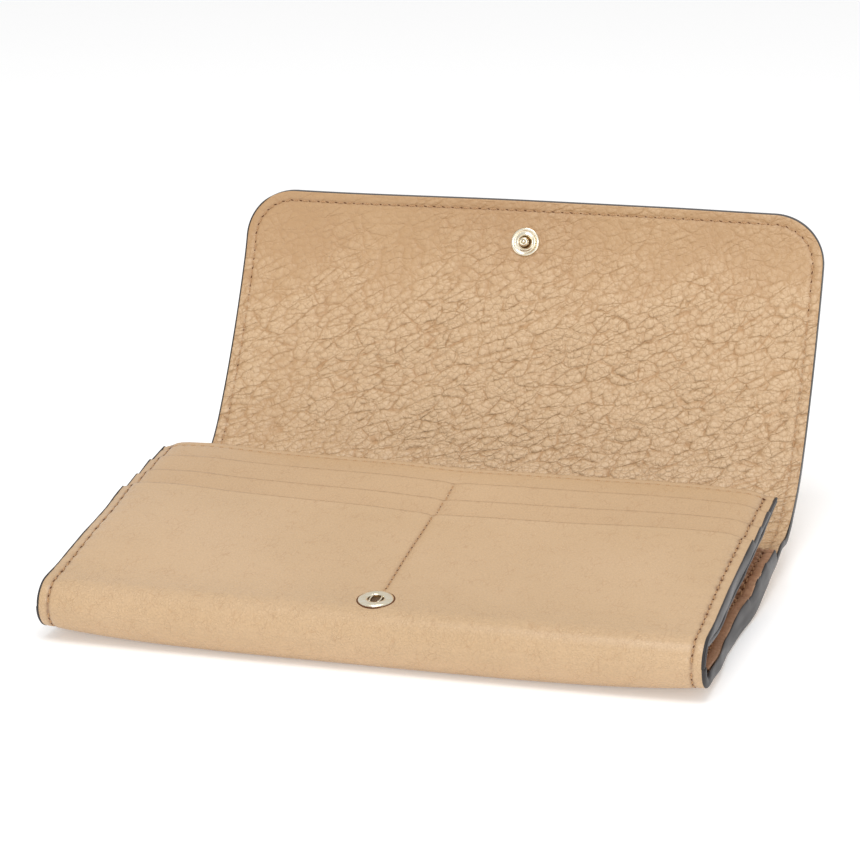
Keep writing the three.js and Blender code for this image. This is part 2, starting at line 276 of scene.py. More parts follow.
def pinch(x, y, z):
    """Near its ends the nose is flatter and drawn in."""
    top = 2 * NOSE_RADIUS
    share = 1 - np.clip(z, 0, top) / top
    inward = NOSE_PULL * toward_ends(x) * np.clip((NOSE_Y - y) / NOSE_RADIUS, 0, 1)
    return share, inward


def tucked(x, y):
    """The back's sides are drawn in between the nose and the spine."""
    return x * (1 - BACK_TUCK * smooth(y, *TUCK_STARTS) * (1 - smooth(y, *TUCK_ENDS)))


def shell(x, s, height):
    """The outer leather: s runs from the middle of the nose, under the wallet, to the flap's tip."""
    y, z, angle = along(SHELL, s)
    share, inward = pinch(x, y, z)
    share = np.where(np.asarray(s) < NOSE_ARC, share, 1)
    up = lift(x, y) * share
    up_flap = smooth(s, FLAP_FOLD, FLAP_TIP)
    fall = 1 - FLAP_RISE_FALL * smooth(x, *FLAP_RISE_FALLS)
    up = up + FLAP_RISE * up_flap * smooth(x, *FLAP_RISE_STARTS) * fall
    across = tucked(x, y) + NOSE_SHIFT * (1 - smooth(y, *NOSE_SHIFT_ENDS))
    across = across - FLAP_TUCK * up_flap * smooth(x, *FLAP_TUCK_STARTS)
    return np.stack(np.broadcast_arrays(
        across, y - height * np.sin(angle) + inward, z + height * np.cos(angle) + up), -1)


def pillow(x, v):
    """How far the front panel stands over its flat plane, less at the seam down its middle."""
    grown = np.clip(v, 0, None) ** 2
    rise = through(PILLOW, x) * grown / (grown + PILLOW_GROWTH ** 2)
    rise = rise + through(TOP_RISE, x) * smooth(v, *TOP_RISE_STARTS)
    seam = smooth(v, 8, 14) * (1 - smooth(v, UPPER_MOUTH, UPPER_MOUTH + 3))
    dip = SEAM_DIP * seam * np.exp(-((x - centre_seam(v)) / SEAM_DIP_WIDTH) ** 2)
    return rise - dip


def centre_seam(v):
    """Where the seam between the two columns of card pockets runs: it leans a little."""
    return CENTRE_SEAM_X + CENTRE_SEAM_LEAN * (1 - np.clip(v / FACE_MOUTH, 0, 1))


def front(x, s, height):
    """The front panel: s runs from the middle of the nose, and height is outwards."""
    y, z, angle = along(FRONT, s)
    share, inward = pinch(x, y, z)
    v = np.asarray(s) - FRONT_ARC
    up = NOSE_LIFT * toward_ends(x) * share * (1 - smooth(v, *FRONT_NOSE_LIFT_ENDS))
    out = height + pillow(x, v)
    across = x + NOSE_SHIFT * (1 - smooth(v, *NOSE_SHIFT_ENDS)) + side_spread(x, v)
    return np.stack(np.broadcast_arrays(
        across, y - out * np.sin(angle) + inward, z + out * np.cos(angle) + up), -1)


def side_spread(x, v):
    """The front panel's left side spreads a little beyond the nose."""
    return -smooth(v, 42, 62) * smooth(-x, 40, 94)


def inner(x, t, height):
    """The inner card panel: t runs along its slope and height is up from its lowest layer."""
    slope = INNER_SLOPE * DEG
    y = INNER_START[0] + t * math.cos(slope)
    side = toward_ends(x, INNER_SIDE_POWER)
    squeeze = 1 - side * (1 - INNER_SQUEEZE) * (1 - smooth(y, *SQUEEZE_ENDS))
    up = through(INNER_SIDE, y) * side
    h = height * squeeze
    z = INNER_START[1] + t * math.sin(slope) + h * math.cos(slope) + up
    return np.stack(np.broadcast_arrays(tucked(x, y), y - h * math.sin(slope), z), -1)


def put_in_frame(points):
    points = np.array(points, float).reshape(-1, 3)
    points[:, 1] += ORIGIN_Y
    return points * MM


# ---------------- mesh builders

def joined_steps(start, end, step):
    """Even positions, with one more close to each end, so that the shading there runs on
    unbroken into the piece that the end meets."""
    places = np.linspace(start, end, max(2, round((end - start) / step)) + 1)
    close = 0.06
    return np.concatenate([places[:1], [start + close], places[1:-1], [end - close], places[-1:]])


def steps(start, end, step, fine_at=(), fine_step=0.35, fine_reach=1.4):
    """Positions from start to end, closer together near its ends and near the given places."""
    places = np.linspace(start, end, max(2, round((end - start) / step)) + 1)
    for spot in (start, end, *fine_at):
        near = np.arange(spot - fine_reach, spot + fine_reach + 1e-6, fine_step)
        near = near[(near > start) & (near < end)]
        places = places[np.abs(places - spot) > fine_reach]
        places = np.concatenate([places, near])
    places = np.unique(np.round(np.concatenate([places, [start, end]]), 4))
    keep = np.concatenate([[True], np.diff(places) > 0.5 * fine_step])
    keep[-1] = True
    return places[keep]


def make_object(name, points, faces, material, uvs=None, flat_from=None):
    mesh = bpy.data.meshes.new(name)
    mesh.from_pydata(put_in_frame(points).tolist(), [], faces)
    if uvs is not None:
        layer = mesh.uv_layers.new(name="UVMap")
        loops = np.zeros(len(mesh.loops), int)
        mesh.loops.foreach_get("vertex_index", loops)
        layer.data.foreach_set("uv", (np.asarray(uvs) * MM)[loops].ravel())
    smooth_face = np.ones(len(mesh.polygons), bool)
    if flat_from is not None:
        smooth_face[flat_from:] = False
    mesh.polygons.foreach_set("use_smooth", smooth_face)
    mesh.update()
    mesh.validate()
    obj = bpy.data.objects.new(name, mesh)
    bpy.context.scene.collection.objects.link(obj)
    for part in material if isinstance(material, list) else [material]:
        mesh.materials.append(part)
    return obj


def grid_faces(rows, columns, first=0, flip=False):
    i, j = np.meshgrid(np.arange(rows - 1), np.arange(columns - 1), indexing="ij")
    a = (first + i * columns + j).ravel()
    quads = np.stack([a, a + 1, a + columns + 1, a + columns], 1)
    return (quads[:, ::-1] if flip else quads).tolist()


def rim_of_grid(rows, columns):
    """The grid's border vertices in order, anticlockwise."""
    bottom = [j for j in range(columns)]
    right = [i * columns + columns - 1 for i in range(1, rows)]
    top = [(rows - 1) * columns + j for j in range(columns - 2, -1, -1)]
    left = [i * columns for i in range(rows - 2, 0, -1)]
    return bottom + right + top + left


def rim_factor(distance, radius):
    """How much of its thickness a sheet has near a cut edge, whose corners are rounded."""
    t = np.clip(distance / radius, 0, 1)
    return 0.5 + 0.5 * np.sqrt(1 - (1 - t) ** 2)


def skin(name, place, x, s, low, high, material, edge=None, relief=None, uv_sign=1, stain=0.0,
         under_relief=0.0):
    """A closed sheet between two heights over a surface, with rounded cut edges. Its grooves
    and the given places are darkened by the leather's material: partly pressed or burnished
    leather, partly painted shade in the grooves, in the troughs of puckers and under the mouths' edges."""
    low = np.broadcast_to(low, x.shape)
    high = np.broadcast_to(high, x.shape)
    middle, half = (low + high) / 2, (high - low) / 2
    factor = np.ones(x.shape) if edge is None else rim_factor(edge, half)
    bump = 0 if relief is None else relief * np.clip(factor * 2 - 1, 0, 1)
    over = place(x, s, middle + half * factor + bump)
    under = place(x, s, middle - half * factor + np.minimum(bump, 0) * 0.5 - under_relief)
    rows, columns = x.shape
    count = rows * columns
    faces = grid_faces(rows, columns) + grid_faces(rows, columns, count, flip=True)
    walls_from = len(faces)
    rim = rim_of_grid(rows, columns)
    for here, following in zip(rim, rim[1:] + rim[:1]):
        faces.append([here, here + count, following + count, following])
    uv = np.stack([x, s * uv_sign], -1).reshape(-1, 2)
    points = np.concatenate([over.reshape(-1, 3), under.reshape(-1, 3)])
    obj = make_object(name, points, faces, material, np.concatenate([uv, uv]), walls_from)
    upper = np.maximum(pressed(0.0 if relief is None else relief), stain)
    sides = [np.broadcast_to(values, x.shape) for values in (upper, pressed(under_relief))]
    set_values(obj, "stain", np.concatenate(sides))
    return obj


def pressed(relief):
    """How strongly a groove is darkened, from how deep it is: pressed leather and painted shade in the
    groove.
    """
    return SEAM_STAIN_AND_SHADE * np.clip(-relief / SEAM_DEPTH, 0, 1) ** 2


def set_values(obj, name, values):
    """Stores a number for each vertex of the upper side, then for as many of the rest as given."""
    layer = obj.data.attributes.new(name, "FLOAT", "POINT")
    stored = np.zeros(len(obj.data.vertices), np.float32)
    stored[:values.size] = values.ravel()
    layer.data.foreach_set("value", stored)


def side_distance(x, half=HALF_WIDTH):
    return half - np.abs(x)


def groove(distance, depth=SEAM_DEPTH, width=SEAM_WIDTH):
    return -depth * np.exp(-(distance / width) ** 2)


def ring_faces(count, ring, closed=False):
    """Faces between rings of points, one after another: round in a circle, or with capped ends."""
    faces = []
    for i in range(count if closed else count - 1):
        a, b = i * ring, ((i + 1) % count) * ring
        for j in range(ring):
            k = (j + 1) % ring
            faces.append([a + j, b + j, b + k, a + k])
    if not closed:
        faces.append(list(range(ring)))
        faces.append([(count - 1) * ring + j for j in range(ring - 1, -1, -1)])
    return faces


def paint_edge(name, place, stations, low, high, bulge=PAINT_BULGE, bend=None, body=None):
    """Edge paint: a bulged strip along a stack's cut edge, from low to high over a surface.
    stations are arrays of x, s and the way outwards in x and s."""
    x, s, out_x, out_s = stations
    angles = np.linspace(-90, 90, 11) * DEG
    reach = np.concatenate([[-PAINT_TUCK], -0.1 + np.cos(angles), [-PAINT_TUCK]])
    share = np.concatenate([[0.1], 0.5 + 0.5 * np.sin(angles), [0.9]])
    over = np.concatenate([[0], 0.12 * np.sin(angles), [0]])
    count, ring = len(x), len(reach)
    bulge = np.broadcast_to(bulge, x.shape)[:, None]
    distance = np.where(reach > 0, reach * bulge, reach)
    height = low[:, None] + (high - low)[:, None] * share + over
    points = place(x[:, None] + out_x[:, None] * distance,
                   s[:, None] + out_s[:, None] * distance, height)
    uv = np.stack(np.broadcast_arrays(s[:, None], height), -1).reshape(-1, 2)
    obj = make_object(name, points, ring_faces(count, ring), PAINT, uv)
    face_outwards(obj)
    finish_piece(obj, bend, body)


def face_outwards(obj):
    """Turns the faces of a closed mesh outwards if its signed volume is negative."""
    mesh = obj.data
    mesh.calc_loop_triangles()
    corners = np.zeros(len(mesh.loop_triangles) * 3, int)
    mesh.loop_triangles.foreach_get("vertices", corners)
    points = np.zeros(len(mesh.vertices) * 3)
    mesh.vertices.foreach_get("co", points)
    a, b, c = points.reshape(-1, 3)[corners.reshape(-1, 3)].transpose(1, 0, 2)
    if np.einsum("ij,ij->i", a, np.cross(b, c)).sum() < 0:
        mesh.flip_normals()


def capsule():
    """One stitch: points as distance along, across and up, and its faces."""
    ends = [-1, -0.82, -0.45, 0, 0.45, 0.82, 1]
    widths = [0.35, 0.8, 1, 1.05, 1, 0.8, 0.35]
    around = 8
    points = []
    for end, width in zip(ends, widths):
        a = end * STITCH_LENGTH / 2
        arch = 0.16 * (1 - end ** 2) - 0.12
        for k in range(around):
            turn = 2 * math.pi * k / around
            points.append((a, THREAD_RADIUS * width * math.cos(turn),
                           arch + 0.8 * THREAD_RADIUS * width * math.sin(turn)))
    faces = []
    for i in range(len(ends) - 1):
        for k in range(around):
            m = (k + 1) % around
            faces.append([i * around + k, i * around + m, (i + 1) * around + m,
                          (i + 1) * around + k])
    faces.append(list(range(around - 1, -1, -1)))
    faces.append([(len(ends) - 1) * around + k for k in range(around)])
    return np.array(points), faces


def needle_hole_shade():
    """The dimple where the thread goes in: a low disc, longer along the seam, that carries the
    hole's painted shade.
    """
    around = 8
    points = [(0, 0, 0.04)]
    for radius, up in ((0.7, 0.035), (1.0, -0.06)):
        for k in range(around):
            turn = 2 * math.pi * k / around
            points.append((HOLE_LENGTH * radius * math.cos(turn),
                           HOLE_WIDTH * radius * math.sin(turn), up))
    points.append((0, 0, -0.2))
    faces = []
    for k in range(around):
        m = (k + 1) % around
        faces.append([0, 1 + k, 1 + m])
        faces.append([1 + k, 1 + around + k, 1 + around + m, 1 + m])
        faces.append([1 + around + k, 1 + 2 * around, 1 + around + m])
    return np.array(points), faces


def sew(name, place, marks, height, side=1, bend=None, body=None):
    """Rows of stitches with needle holes. marks are arrays of x, s and the seam's direction in x and s.
    side is 1 on the surface's upper side and -1 under it."""
    thread, thread_faces = capsule()
    hole, hole_faces = needle_hole_shade()
    chance = random.Random(SEED)
    points, faces, from_hole = [], [], 0
    x, s, dx, ds = (np.asarray(m, float) for m in marks)
    groups = ((thread, thread_faces, 0.0), (hole, hole_faces, STITCH_PITCH / 2))
    for template, template_faces, shift in groups:
        if shift:
            from_hole = len(faces)
        for i in range(len(x)):
            slant = (-2 if shift else 1) * STITCH_SLANT + chance.uniform(-1, 1) * 4 * DEG
            size = chance.uniform(0.6, 1.2) if shift else chance.uniform(0.92, 1.05)
            ux = dx[i] * math.cos(slant) - ds[i] * math.sin(slant)
            us = dx[i] * math.sin(slant) + ds[i] * math.cos(slant)
            a = template[:, 0] * size
            px = x[i] + dx[i] * shift + ux * a - us * template[:, 1]
            ps = s[i] + ds[i] * shift + us * a + ux * template[:, 1]
            base = height(px, ps) if callable(height) else height
            first = sum(len(p) for p in points)
            points.append(place(px, ps, base + side * template[:, 2]))
            turned = template_faces if side > 0 else [f[::-1] for f in template_faces]
            faces += [[v + first for v in f] for f in turned]
    obj = make_object(name, np.concatenate(points), faces, [THREAD, HOLE_SHADE])
    index = np.zeros(len(faces), int)
    index[from_hole:] = 1
    obj.data.polygons.foreach_set("material_index", index)
    finish_piece(obj, bend, body)


def straight_marks(from_x, from_s, to_x, to_s):
    """Stitch places along a straight seam."""
    length = math.hypot(to_x - from_x, to_s - from_s)
    count = max(2, round(length / STITCH_PITCH))
    t = (np.arange(count) + 0.5) / count
    ones = np.ones(count)
    return (from_x + (to_x - from_x) * t, from_s + (to_s - from_s) * t,
            ones * (to_x - from_x) / length, ones * (to_s - from_s) / length)


def join_marks(*marks):
    return tuple(np.concatenate(part) for part in zip(*marks))


def lathe(name, profile, centre, up, material, segments=72):
    """A round piece from a closed profile of radius and height, standing on a slope."""
    profile = np.array(profile, float)
    turns = np.arange(segments) / segments * 2 * math.pi
    radius, height = profile[:, 0], profile[:, 1]
    side = np.array([1.0, 0, 0])
    fore = np.cross(up, side)
    points = (centre + radius[None, :, None] * (np.cos(turns)[:, None, None] * side
                                                + np.sin(turns)[:, None, None] * fore)
              + height[None, :, None] * up)
    obj = make_object(name, points, ring_faces(segments, len(profile), closed=True), material)
    face_outwards(obj)
    return obj


def tube(name, points, radius, material, around=10):
    """A round wire through a list of points, with closed ends."""
    points = np.array(points, float)
    heading = np.gradient(points, axis=0)
    heading /= np.linalg.norm(heading, axis=1)[:, None]
    side = np.cross(heading, [0.0, 0.3, 1.0])
    side /= np.linalg.norm(side, axis=1)[:, None]
    fore = np.cross(heading, side)
    turns = np.arange(around) / around * 2 * math.pi
    rings = (points[:, None] + radius * (np.cos(turns)[None, :, None] * side[:, None]
                                         + np.sin(turns)[None, :, None] * fore[:, None]))
    obj = make_object(name, rings.reshape(-1, 3), ring_faces(len(points), around), material)
    face_outwards(obj)
    return obj


# ---------------- node helpers

class Nodes:
    """Adds nodes to a shader tree or a geometry tree, and links them as they are made."""

    def __init__(self, tree):
        self.tree = tree

    def add(self, kind, inputs=None, **properties):
        node = self.tree.nodes.new(kind)
        for key, value in properties.items():
            setattr(node, key, value)
        for key, value in (inputs or {}).items():
            if isinstance(value, bpy.types.NodeSocket):
                self.tree.links.new(value, node.inputs[key])
            else:
                node.inputs[key].default_value = value
        return node

    def math(self, operation, first, second=0.0, clamp=False):
        node = self.add("ShaderNodeMath", {0: first, 1: second}, operation=operation)
        node.use_clamp = clamp
        return node.outputs[0]

    def times(self, first, second):
        return self.math("MULTIPLY", first, second)

    def vector(self, operation, first, second=(0, 0, 0)):
        inputs = {0: first, 1: second}
        return self.add("ShaderNodeVectorMath", inputs, operation=operation).outputs[0]

    def stretched(self, coordinates, turn, scale):
        """Coordinates in which a pattern comes out turned, and longer by scale along each axis."""
        inputs = {"Vector": coordinates, "Angle": -turn * DEG}
        turned = self.add("ShaderNodeVectorRotate", inputs, rotation_type="Z_AXIS").outputs[0]
        return self.vector("DIVIDE", turned, scale)

    def noise(self, coordinates, scale, detail=3.0, roughness=0.5, output="Fac"):
        inputs = {"Vector": coordinates, "Scale": scale, "Detail": detail,
                  "Roughness": roughness}
        return self.add("ShaderNodeTexNoise", inputs).outputs[output]

    def wandering(self, coordinates, scale, reach):
        """Coordinates that stray a little, so that straight lines in a pattern come out bent."""
        stray = self.noise(coordinates, scale, 2.0, output="Color")
        stray = self.vector("SUBTRACT", stray, (0.5, 0.5, 0.5))
        return self.vector("ADD", coordinates, self.vector("MULTIPLY", stray, (reach, reach, 0)))

    def centres(self, coordinates, scale):
        """Round domes, 1 at the middle of each cell and 0 in the creases around it."""
        inputs = {"Vector": coordinates, "Scale": scale}
        distance = self.add("ShaderNodeTexVoronoi", inputs, feature="F1").outputs["Distance"]
        return self.math("SUBTRACT", 1.0, self.math("POWER", distance, 2.0), clamp=True)

    def edges(self, coordinates, scale):
        """The distance to a cell's edge, in cells."""
        inputs = {"Vector": coordinates, "Scale": scale}
        return self.add("ShaderNodeTexVoronoi", inputs,
                        feature="DISTANCE_TO_EDGE").outputs["Distance"]

    def ramp(self, value, low, high, to_low=0.0, to_high=1.0):
        inputs = {"Value": value, "From Min": low, "From Max": high, "To Min": to_low,
                  "To Max": to_high}
        node = self.add("ShaderNodeMapRange", inputs, interpolation_type="SMOOTHSTEP")
        return node.outputs["Result"]

    def mix(self, factor, first, second):
        node = self.add("ShaderNodeMix", {0: factor}, data_type="RGBA")
        for key, value in ((6, first), (7, second)):
            if isinstance(value, bpy.types.NodeSocket):
                self.tree.links.new(value, node.inputs[key])
            else:
                node.inputs[key].default_value = value
        return node.outputs[2]


def pebbles(nodes, coordinates):
    """Heavy pebbled grain on metric coordinates: how deep its creases are, and its height."""
    warped = nodes.wandering(coordinates, 240, 0.0012)
    warped = nodes.wandering(warped, 620, 0.001)
    rising = nodes.edges(nodes.stretched(warped, 27, (2.0, 0.9, 1)), 240)
    falling = nodes.edges(nodes.stretched(warped, -33, (1.9, 0.9, 1)), 190)
    rows = nodes.stretched(warped, 20, (1.15, 0.9, 1))
    pebble = nodes.centres(rows, 540)
    fine = nodes.centres(nodes.stretched(warped, 100, (1.3, 0.8, 1)), 1050)
    some = nodes.ramp(nodes.noise(coordinates, 140, 2.0), 0.4, 0.6, 0.0, 0.4)
    more = nodes.ramp(nodes.noise(coordinates, 170, 2.0), 0.3, 0.6, 0.15, 0.75)
    lines = nodes.times(nodes.ramp(rising, 0.0, 0.05, 1.0, 0.0), more)
    crossing = nodes.times(nodes.ramp(falling, 0.0, 0.04, 1.0, 0.0), some)
    lines = nodes.math("MAXIMUM", lines, crossing)
    short = nodes.ramp(nodes.edges(rows, 540), 0.0, 0.12, 0.3, 0.0)
    lines = nodes.math("MAXIMUM", lines, short)
    domes = nodes.math("ADD", nodes.times(pebble, 0.6), nodes.times(fine, 0.24))
    domes = nodes.math("ADD", domes, nodes.ramp(rising, 0.0, 0.14, 0.0, 0.2))
    height = nodes.math("SUBTRACT", domes, nodes.times(lines, 0.25))
    place = nodes.add("ShaderNodeSeparateXYZ", {0: coordinates})
    along_flap = nodes.ramp(place.outputs[1], (FLAP_TIP - 48) * MM, (FLAP_TIP - 8) * MM, 1.0, 0.38)
    across_flap = nodes.ramp(place.outputs[0], -0.1, 0.0, 0.7, 1.0)
    patches = nodes.ramp(nodes.noise(coordinates, 60, 2.0), 0.3, 0.7, 0.6, 1.0)
    depth = nodes.times(nodes.times(along_flap, across_flap), patches)
    return nodes.times(lines, depth), nodes.times(height, depth)


def add_pebble_relief(obj, depth):
    """Raises the pebbles as real relief on the upper side, with the same pattern as the paint."""
    tree = bpy.data.node_groups.new("pebble_relief", "GeometryNodeTree")
    tree.interface.new_socket("Geometry", in_out="INPUT", socket_type="NodeSocketGeometry")
    tree.interface.new_socket("Geometry", in_out="OUTPUT", socket_type="NodeSocketGeometry")
    nodes = Nodes(tree)
    start = nodes.add("NodeGroupInput")
    named = nodes.add("GeometryNodeInputNamedAttribute", {"Name": "UVMap"},
                      data_type="FLOAT_VECTOR")
    raised = nodes.add("GeometryNodeInputNamedAttribute", {"Name": "relief"}, data_type="FLOAT")
    _, height = pebbles(nodes, named.outputs["Attribute"])
    height = nodes.times(height, depth * MM)
    height = nodes.times(height, raised.outputs["Attribute"])
    normal = nodes.add("GeometryNodeInputNormal").outputs[0]
    offset = nodes.add("ShaderNodeVectorMath", {0: normal, "Scale": height}, operation="SCALE")
    inputs = {"Geometry": start.outputs[0], "Offset": offset.outputs[0]}
    moved = nodes.add("GeometryNodeSetPosition", inputs)
    nodes.add("NodeGroupOutput", {0: moved.outputs[0]})
    modifier = obj.modifiers.new("relief", "NODES")
    modifier.node_group = tree
    evaluated = obj.evaluated_get(bpy.context.evaluated_depsgraph_get())
    final = bpy.data.meshes.new_from_object(evaluated)
    obj.modifiers.clear()
    obj.data = final
    bpy.data.node_groups.remove(tree)


# ---------------- materials

def srgb(red, green, blue):
    """A colour as seen, from 0 to 255, as the linear colour that the shader takes."""
    def linear(c):
        c /= 255
        return c / 12.92 if c <= 0.04045 else ((c + 0.055) / 1.055) ** 2.4
    return (linear(red), linear(green), linear(blue), 1.0)


def new_material(name):
    material = bpy.data.materials.new(name)
    material.use_nodes = True
    nodes = Nodes(material.node_tree)
    return material, nodes, material.node_tree.nodes["Principled BSDF"]


def set_inputs(shader, **values):
    for name, value in values.items():
        shader.inputs[name.replace("_", " ")].default_value = value


def link(nodes, output, shader, name):
    nodes.tree.links.new(output, shader.inputs[name])


def bump(nodes, height, distance, strength=1.0, before=None):
    inputs = {"Height": height, "Distance": distance * MM, "Strength": strength}
    if before is not None:
        inputs["Normal"] = before
    return nodes.add("ShaderNodeBump", inputs).outputs["Normal"]


def uv_of(nodes):
    return nodes.add("ShaderNodeUVMap", uv_map="UVMap").outputs[0]


def stained_and_shaded(nodes, uv, colour):
    """The colour, darkened where the leather is pressed in a seam or burnished at an edge,
    and with painted shade in grooves and under the mouths' edges.
    """
    stain = nodes.add("ShaderNodeAttribute", attribute_name="stain").outputs["Fac"]
    uneven = nodes.ramp(nodes.noise(uv, 420, 3.0), 0.3, 0.68, 0.35, 1.0)
    # Dark brown, laid on unevenly, for pressed or burnished leather and for the painted shade.
    return nodes.mix(nodes.times(stain, uneven), colour, srgb(124, 84, 52))


def pebbled_leather():
    material, nodes, shader = new_material("pebbled_leather")
    uv = uv_of(nodes)
    creases, height = pebbles(nodes, uv)
    patches = nodes.ramp(nodes.noise(uv, 24, 3.0), 0.3, 0.7)
    # Hollows and creases painted darker than the tops: grain tone and painted shade.
    shaded_hollow = nodes.mix(patches, srgb(183, 145, 103), srgb(188, 151, 108))
    pebble_colour = nodes.mix(nodes.ramp(height, 0.1, 0.6), shaded_hollow, srgb(204, 171, 132))
    colour = nodes.mix(nodes.times(creases, 0.6), pebble_colour, srgb(166, 112, 62))
    pores = nodes.noise(uv, 2600, 2.0)
    link(nodes, stained_and_shaded(nodes, uv, colour), shader, "Base Color")
    link(nodes, nodes.ramp(creases, 0.0, 0.6, 0.4, 0.75), shader, "Roughness")
    fine = bump(nodes, pores, 0.03, 0.6)
    link(nodes, bump(nodes, height, 1.3, 0.82, fine), shader, "Normal")
    set_inputs(shader, Specular_IOR_Level=0.6, Coat_Weight=0.15, Coat_Roughness=0.3)
    return material


def smooth_leather(name, light, dark, grain_depth=0.2):
    """Fine-grained outer leather, with faint long creases and a soft sheen."""
    material, nodes, shader = new_material(name)
    uv = uv_of(nodes)
    warped = nodes.wandering(uv, 700, 0.0009)
    cells = nodes.ramp(nodes.edges(warped, 1150), 0.0, 0.3)
    broad = nodes.ramp(nodes.edges(nodes.stretched(warped, 75, (2.0, 1.0, 1)), 620), 0.0, 0.07)
    where = nodes.ramp(nodes.noise(uv, 170, 2.0), 0.45, 0.62)
    lines = nodes.times(nodes.math("SUBTRACT", 1.0, broad), where)
    patches = nodes.ramp(nodes.noise(uv, 16, 3.0), 0.3, 0.7)
    colour = nodes.mix(patches, dark, light)
    # The faint creases are painted darker: partly their own tone, partly painted shade.
    colour = nodes.mix(nodes.times(lines, 0.3), colour, srgb(166, 122, 80))
    specks = nodes.ramp(nodes.noise(uv, 1500, 2.0), 0.25, 0.75, 0.93, 1.03)
    colour = nodes.add("ShaderNodeHueSaturation", {"Color": colour, "Value": specks}).outputs[0]
    link(nodes, stained_and_shaded(nodes, uv, colour), shader, "Base Color")
    link(nodes, nodes.ramp(cells, 0.0, 1.0, 0.54, 0.42), shader, "Roughness")
    height = nodes.math("SUBTRACT", cells, nodes.times(lines, 0.2))
    distance = nodes.add("ShaderNodeSeparateXYZ", {0: uv}).outputs[1]
    away = nodes.ramp(distance, 0.008, 0.03, 1.0, 0.3)
    height = nodes.times(height, away)
    link(nodes, bump(nodes, height, grain_depth, 0.6), shader, "Normal")
    set_inputs(shader, Specular_IOR_Level=0.5, Coat_Weight=0.45, Coat_Roughness=0.26)
    return material


def lining_leather(name, light, dark):
    """Thin lining leather with a dull, short grain, its low creases painted darker as shade."""
    material, nodes, shader = new_material(name)
    uv = uv_of(nodes)
    cells = nodes.ramp(nodes.edges(uv, 900), 0.0, 0.3)
    creases = nodes.noise(nodes.stretched(uv, 0, (1.4, 0.8, 1)), 640, 3.0)
    # Low creases are painted darker: painted shade.
    colour = nodes.mix(nodes.ramp(creases, 0.3, 0.7), dark, light)
    link(nodes, stained_and_shaded(nodes, uv, colour), shader, "Base Color")
    height = nodes.math("ADD", nodes.times(cells, 0.4), creases)
    link(nodes, bump(nodes, height, 0.12, 0.7), shader, "Normal")
    set_inputs(shader, Roughness=0.62, Specular_IOR_Level=0.35)
    return material


def edge_paint():
    """Dark grey paint on the cut edges, in faint lighter streaks along them."""
    material, nodes, shader = new_material("edge_paint")
    uv = uv_of(nodes)
    streaks = nodes.noise(nodes.stretched(uv, 0, (5.0, 1.0, 1)), 170, 2.0)
    colour = nodes.mix(nodes.ramp(streaks, 0.3, 0.75), srgb(44, 41, 41), srgb(66, 62, 62))
    link(nodes, colour, shader, "Base Color")
    link(nodes, nodes.ramp(streaks, 0.3, 0.7, 0.46, 0.36), shader, "Roughness")
    link(nodes, bump(nodes, streaks, 0.6, 0.7), shader, "Normal")
    set_inputs(shader, Specular_IOR_Level=0.28)
    return material


def sewing_thread():
    material, nodes, shader = new_material("sewing_thread")
    place = nodes.add("ShaderNodeTexCoord").outputs["Object"]
    twist = nodes.add("ShaderNodeTexWave", {"Vector": place, "Scale": 900.0, "Distortion": 2.0},
                      bands_direction="DIAGONAL").outputs["Fac"]
    colour = nodes.mix(twist, srgb(160, 120, 82), srgb(196, 156, 114))
    link(nodes, colour, shader, "Base Color")
    link(nodes, bump(nodes, twist, 0.05, 0.6), shader, "Normal")
    set_inputs(shader, Roughness=0.6, Specular_IOR_Level=0.4)
    return material


def hole_shadow():
    """Painted shade of a needle hole: dark brown, with the pressed leather around it."""
    material, nodes, shader = new_material("needle_hole_shade")
    place = nodes.add("ShaderNodeTexCoord").outputs["Object"]
    colour = nodes.mix(nodes.noise(place, 700), srgb(84, 52, 32), srgb(112, 74, 48))
    link(nodes, colour, shader, "Base Color")
    set_inputs(shader, Roughness=0.85, Specular_IOR_Level=0.15)
    return material


def plated_brass(name, dark, light):
    """Plated brass, with a faint haze of handling marks."""
    material, nodes, shader = new_material(name)
    place = nodes.add("ShaderNodeTexCoord").outputs["Object"]
    marks = nodes.noise(nodes.stretched(place, 30, (5.0, 1.0, 1.0)), 1800, 3.0)
    colour = nodes.mix(nodes.ramp(marks, 0.3, 0.8), dark, light)
    link(nodes, colour, shader, "Base Color")
    link(nodes, nodes.ramp(marks, 0.3, 0.8, 0.28, 0.18), shader, "Roughness")
    link(nodes, bump(nodes, marks, 0.01, 0.4), shader, "Normal")
    set_inputs(shader, Metallic=1.0)
    return material


def grey_board():
    material, nodes, shader = new_material("fibre_board")
    uv = uv_of(nodes)
    fibres = nodes.noise(nodes.stretched(uv, 15, (8.0, 1.0, 1.0)), 500, 4.0)
    colour = nodes.mix(fibres, srgb(120, 96, 72), srgb(158, 132, 104))
    link(nodes, colour, shader, "Base Color")
    link(nodes, bump(nodes, fibres, 0.05, 0.6), shader, "Normal")
    set_inputs(shader, Roughness=0.92)
    return material


PEBBLED = pebbled_leather()
OUTER = smooth_leather("outer_leather", srgb(201, 168, 129), srgb(195, 162, 122))
STRIP_LEATHER = smooth_leather("strip_leather", srgb(199, 165, 125), srgb(193, 159, 119), 0.22)
# Linings: the tan leather painted darker and pinker, as painted shade inside the wallet.
SHADED_LINING = lining_leather("lining_leather", srgb(194, 153, 121), srgb(178, 135, 105))
PAINT = edge_paint()
THREAD = sewing_thread()
HOLE_SHADE = hole_shadow()
GOLD = plated_brass("pale_gold", srgb(238, 226, 198), srgb(252, 247, 232))
# Dark brass for the snap's hollows: the metal painted in their shade.
SHADED_BRASS = plated_brass("shaded_brass", srgb(84, 58, 30), srgb(128, 96, 54))
BOARD = grey_board()


# ---------------- the folds: pieces that lie across them are baked where they lie

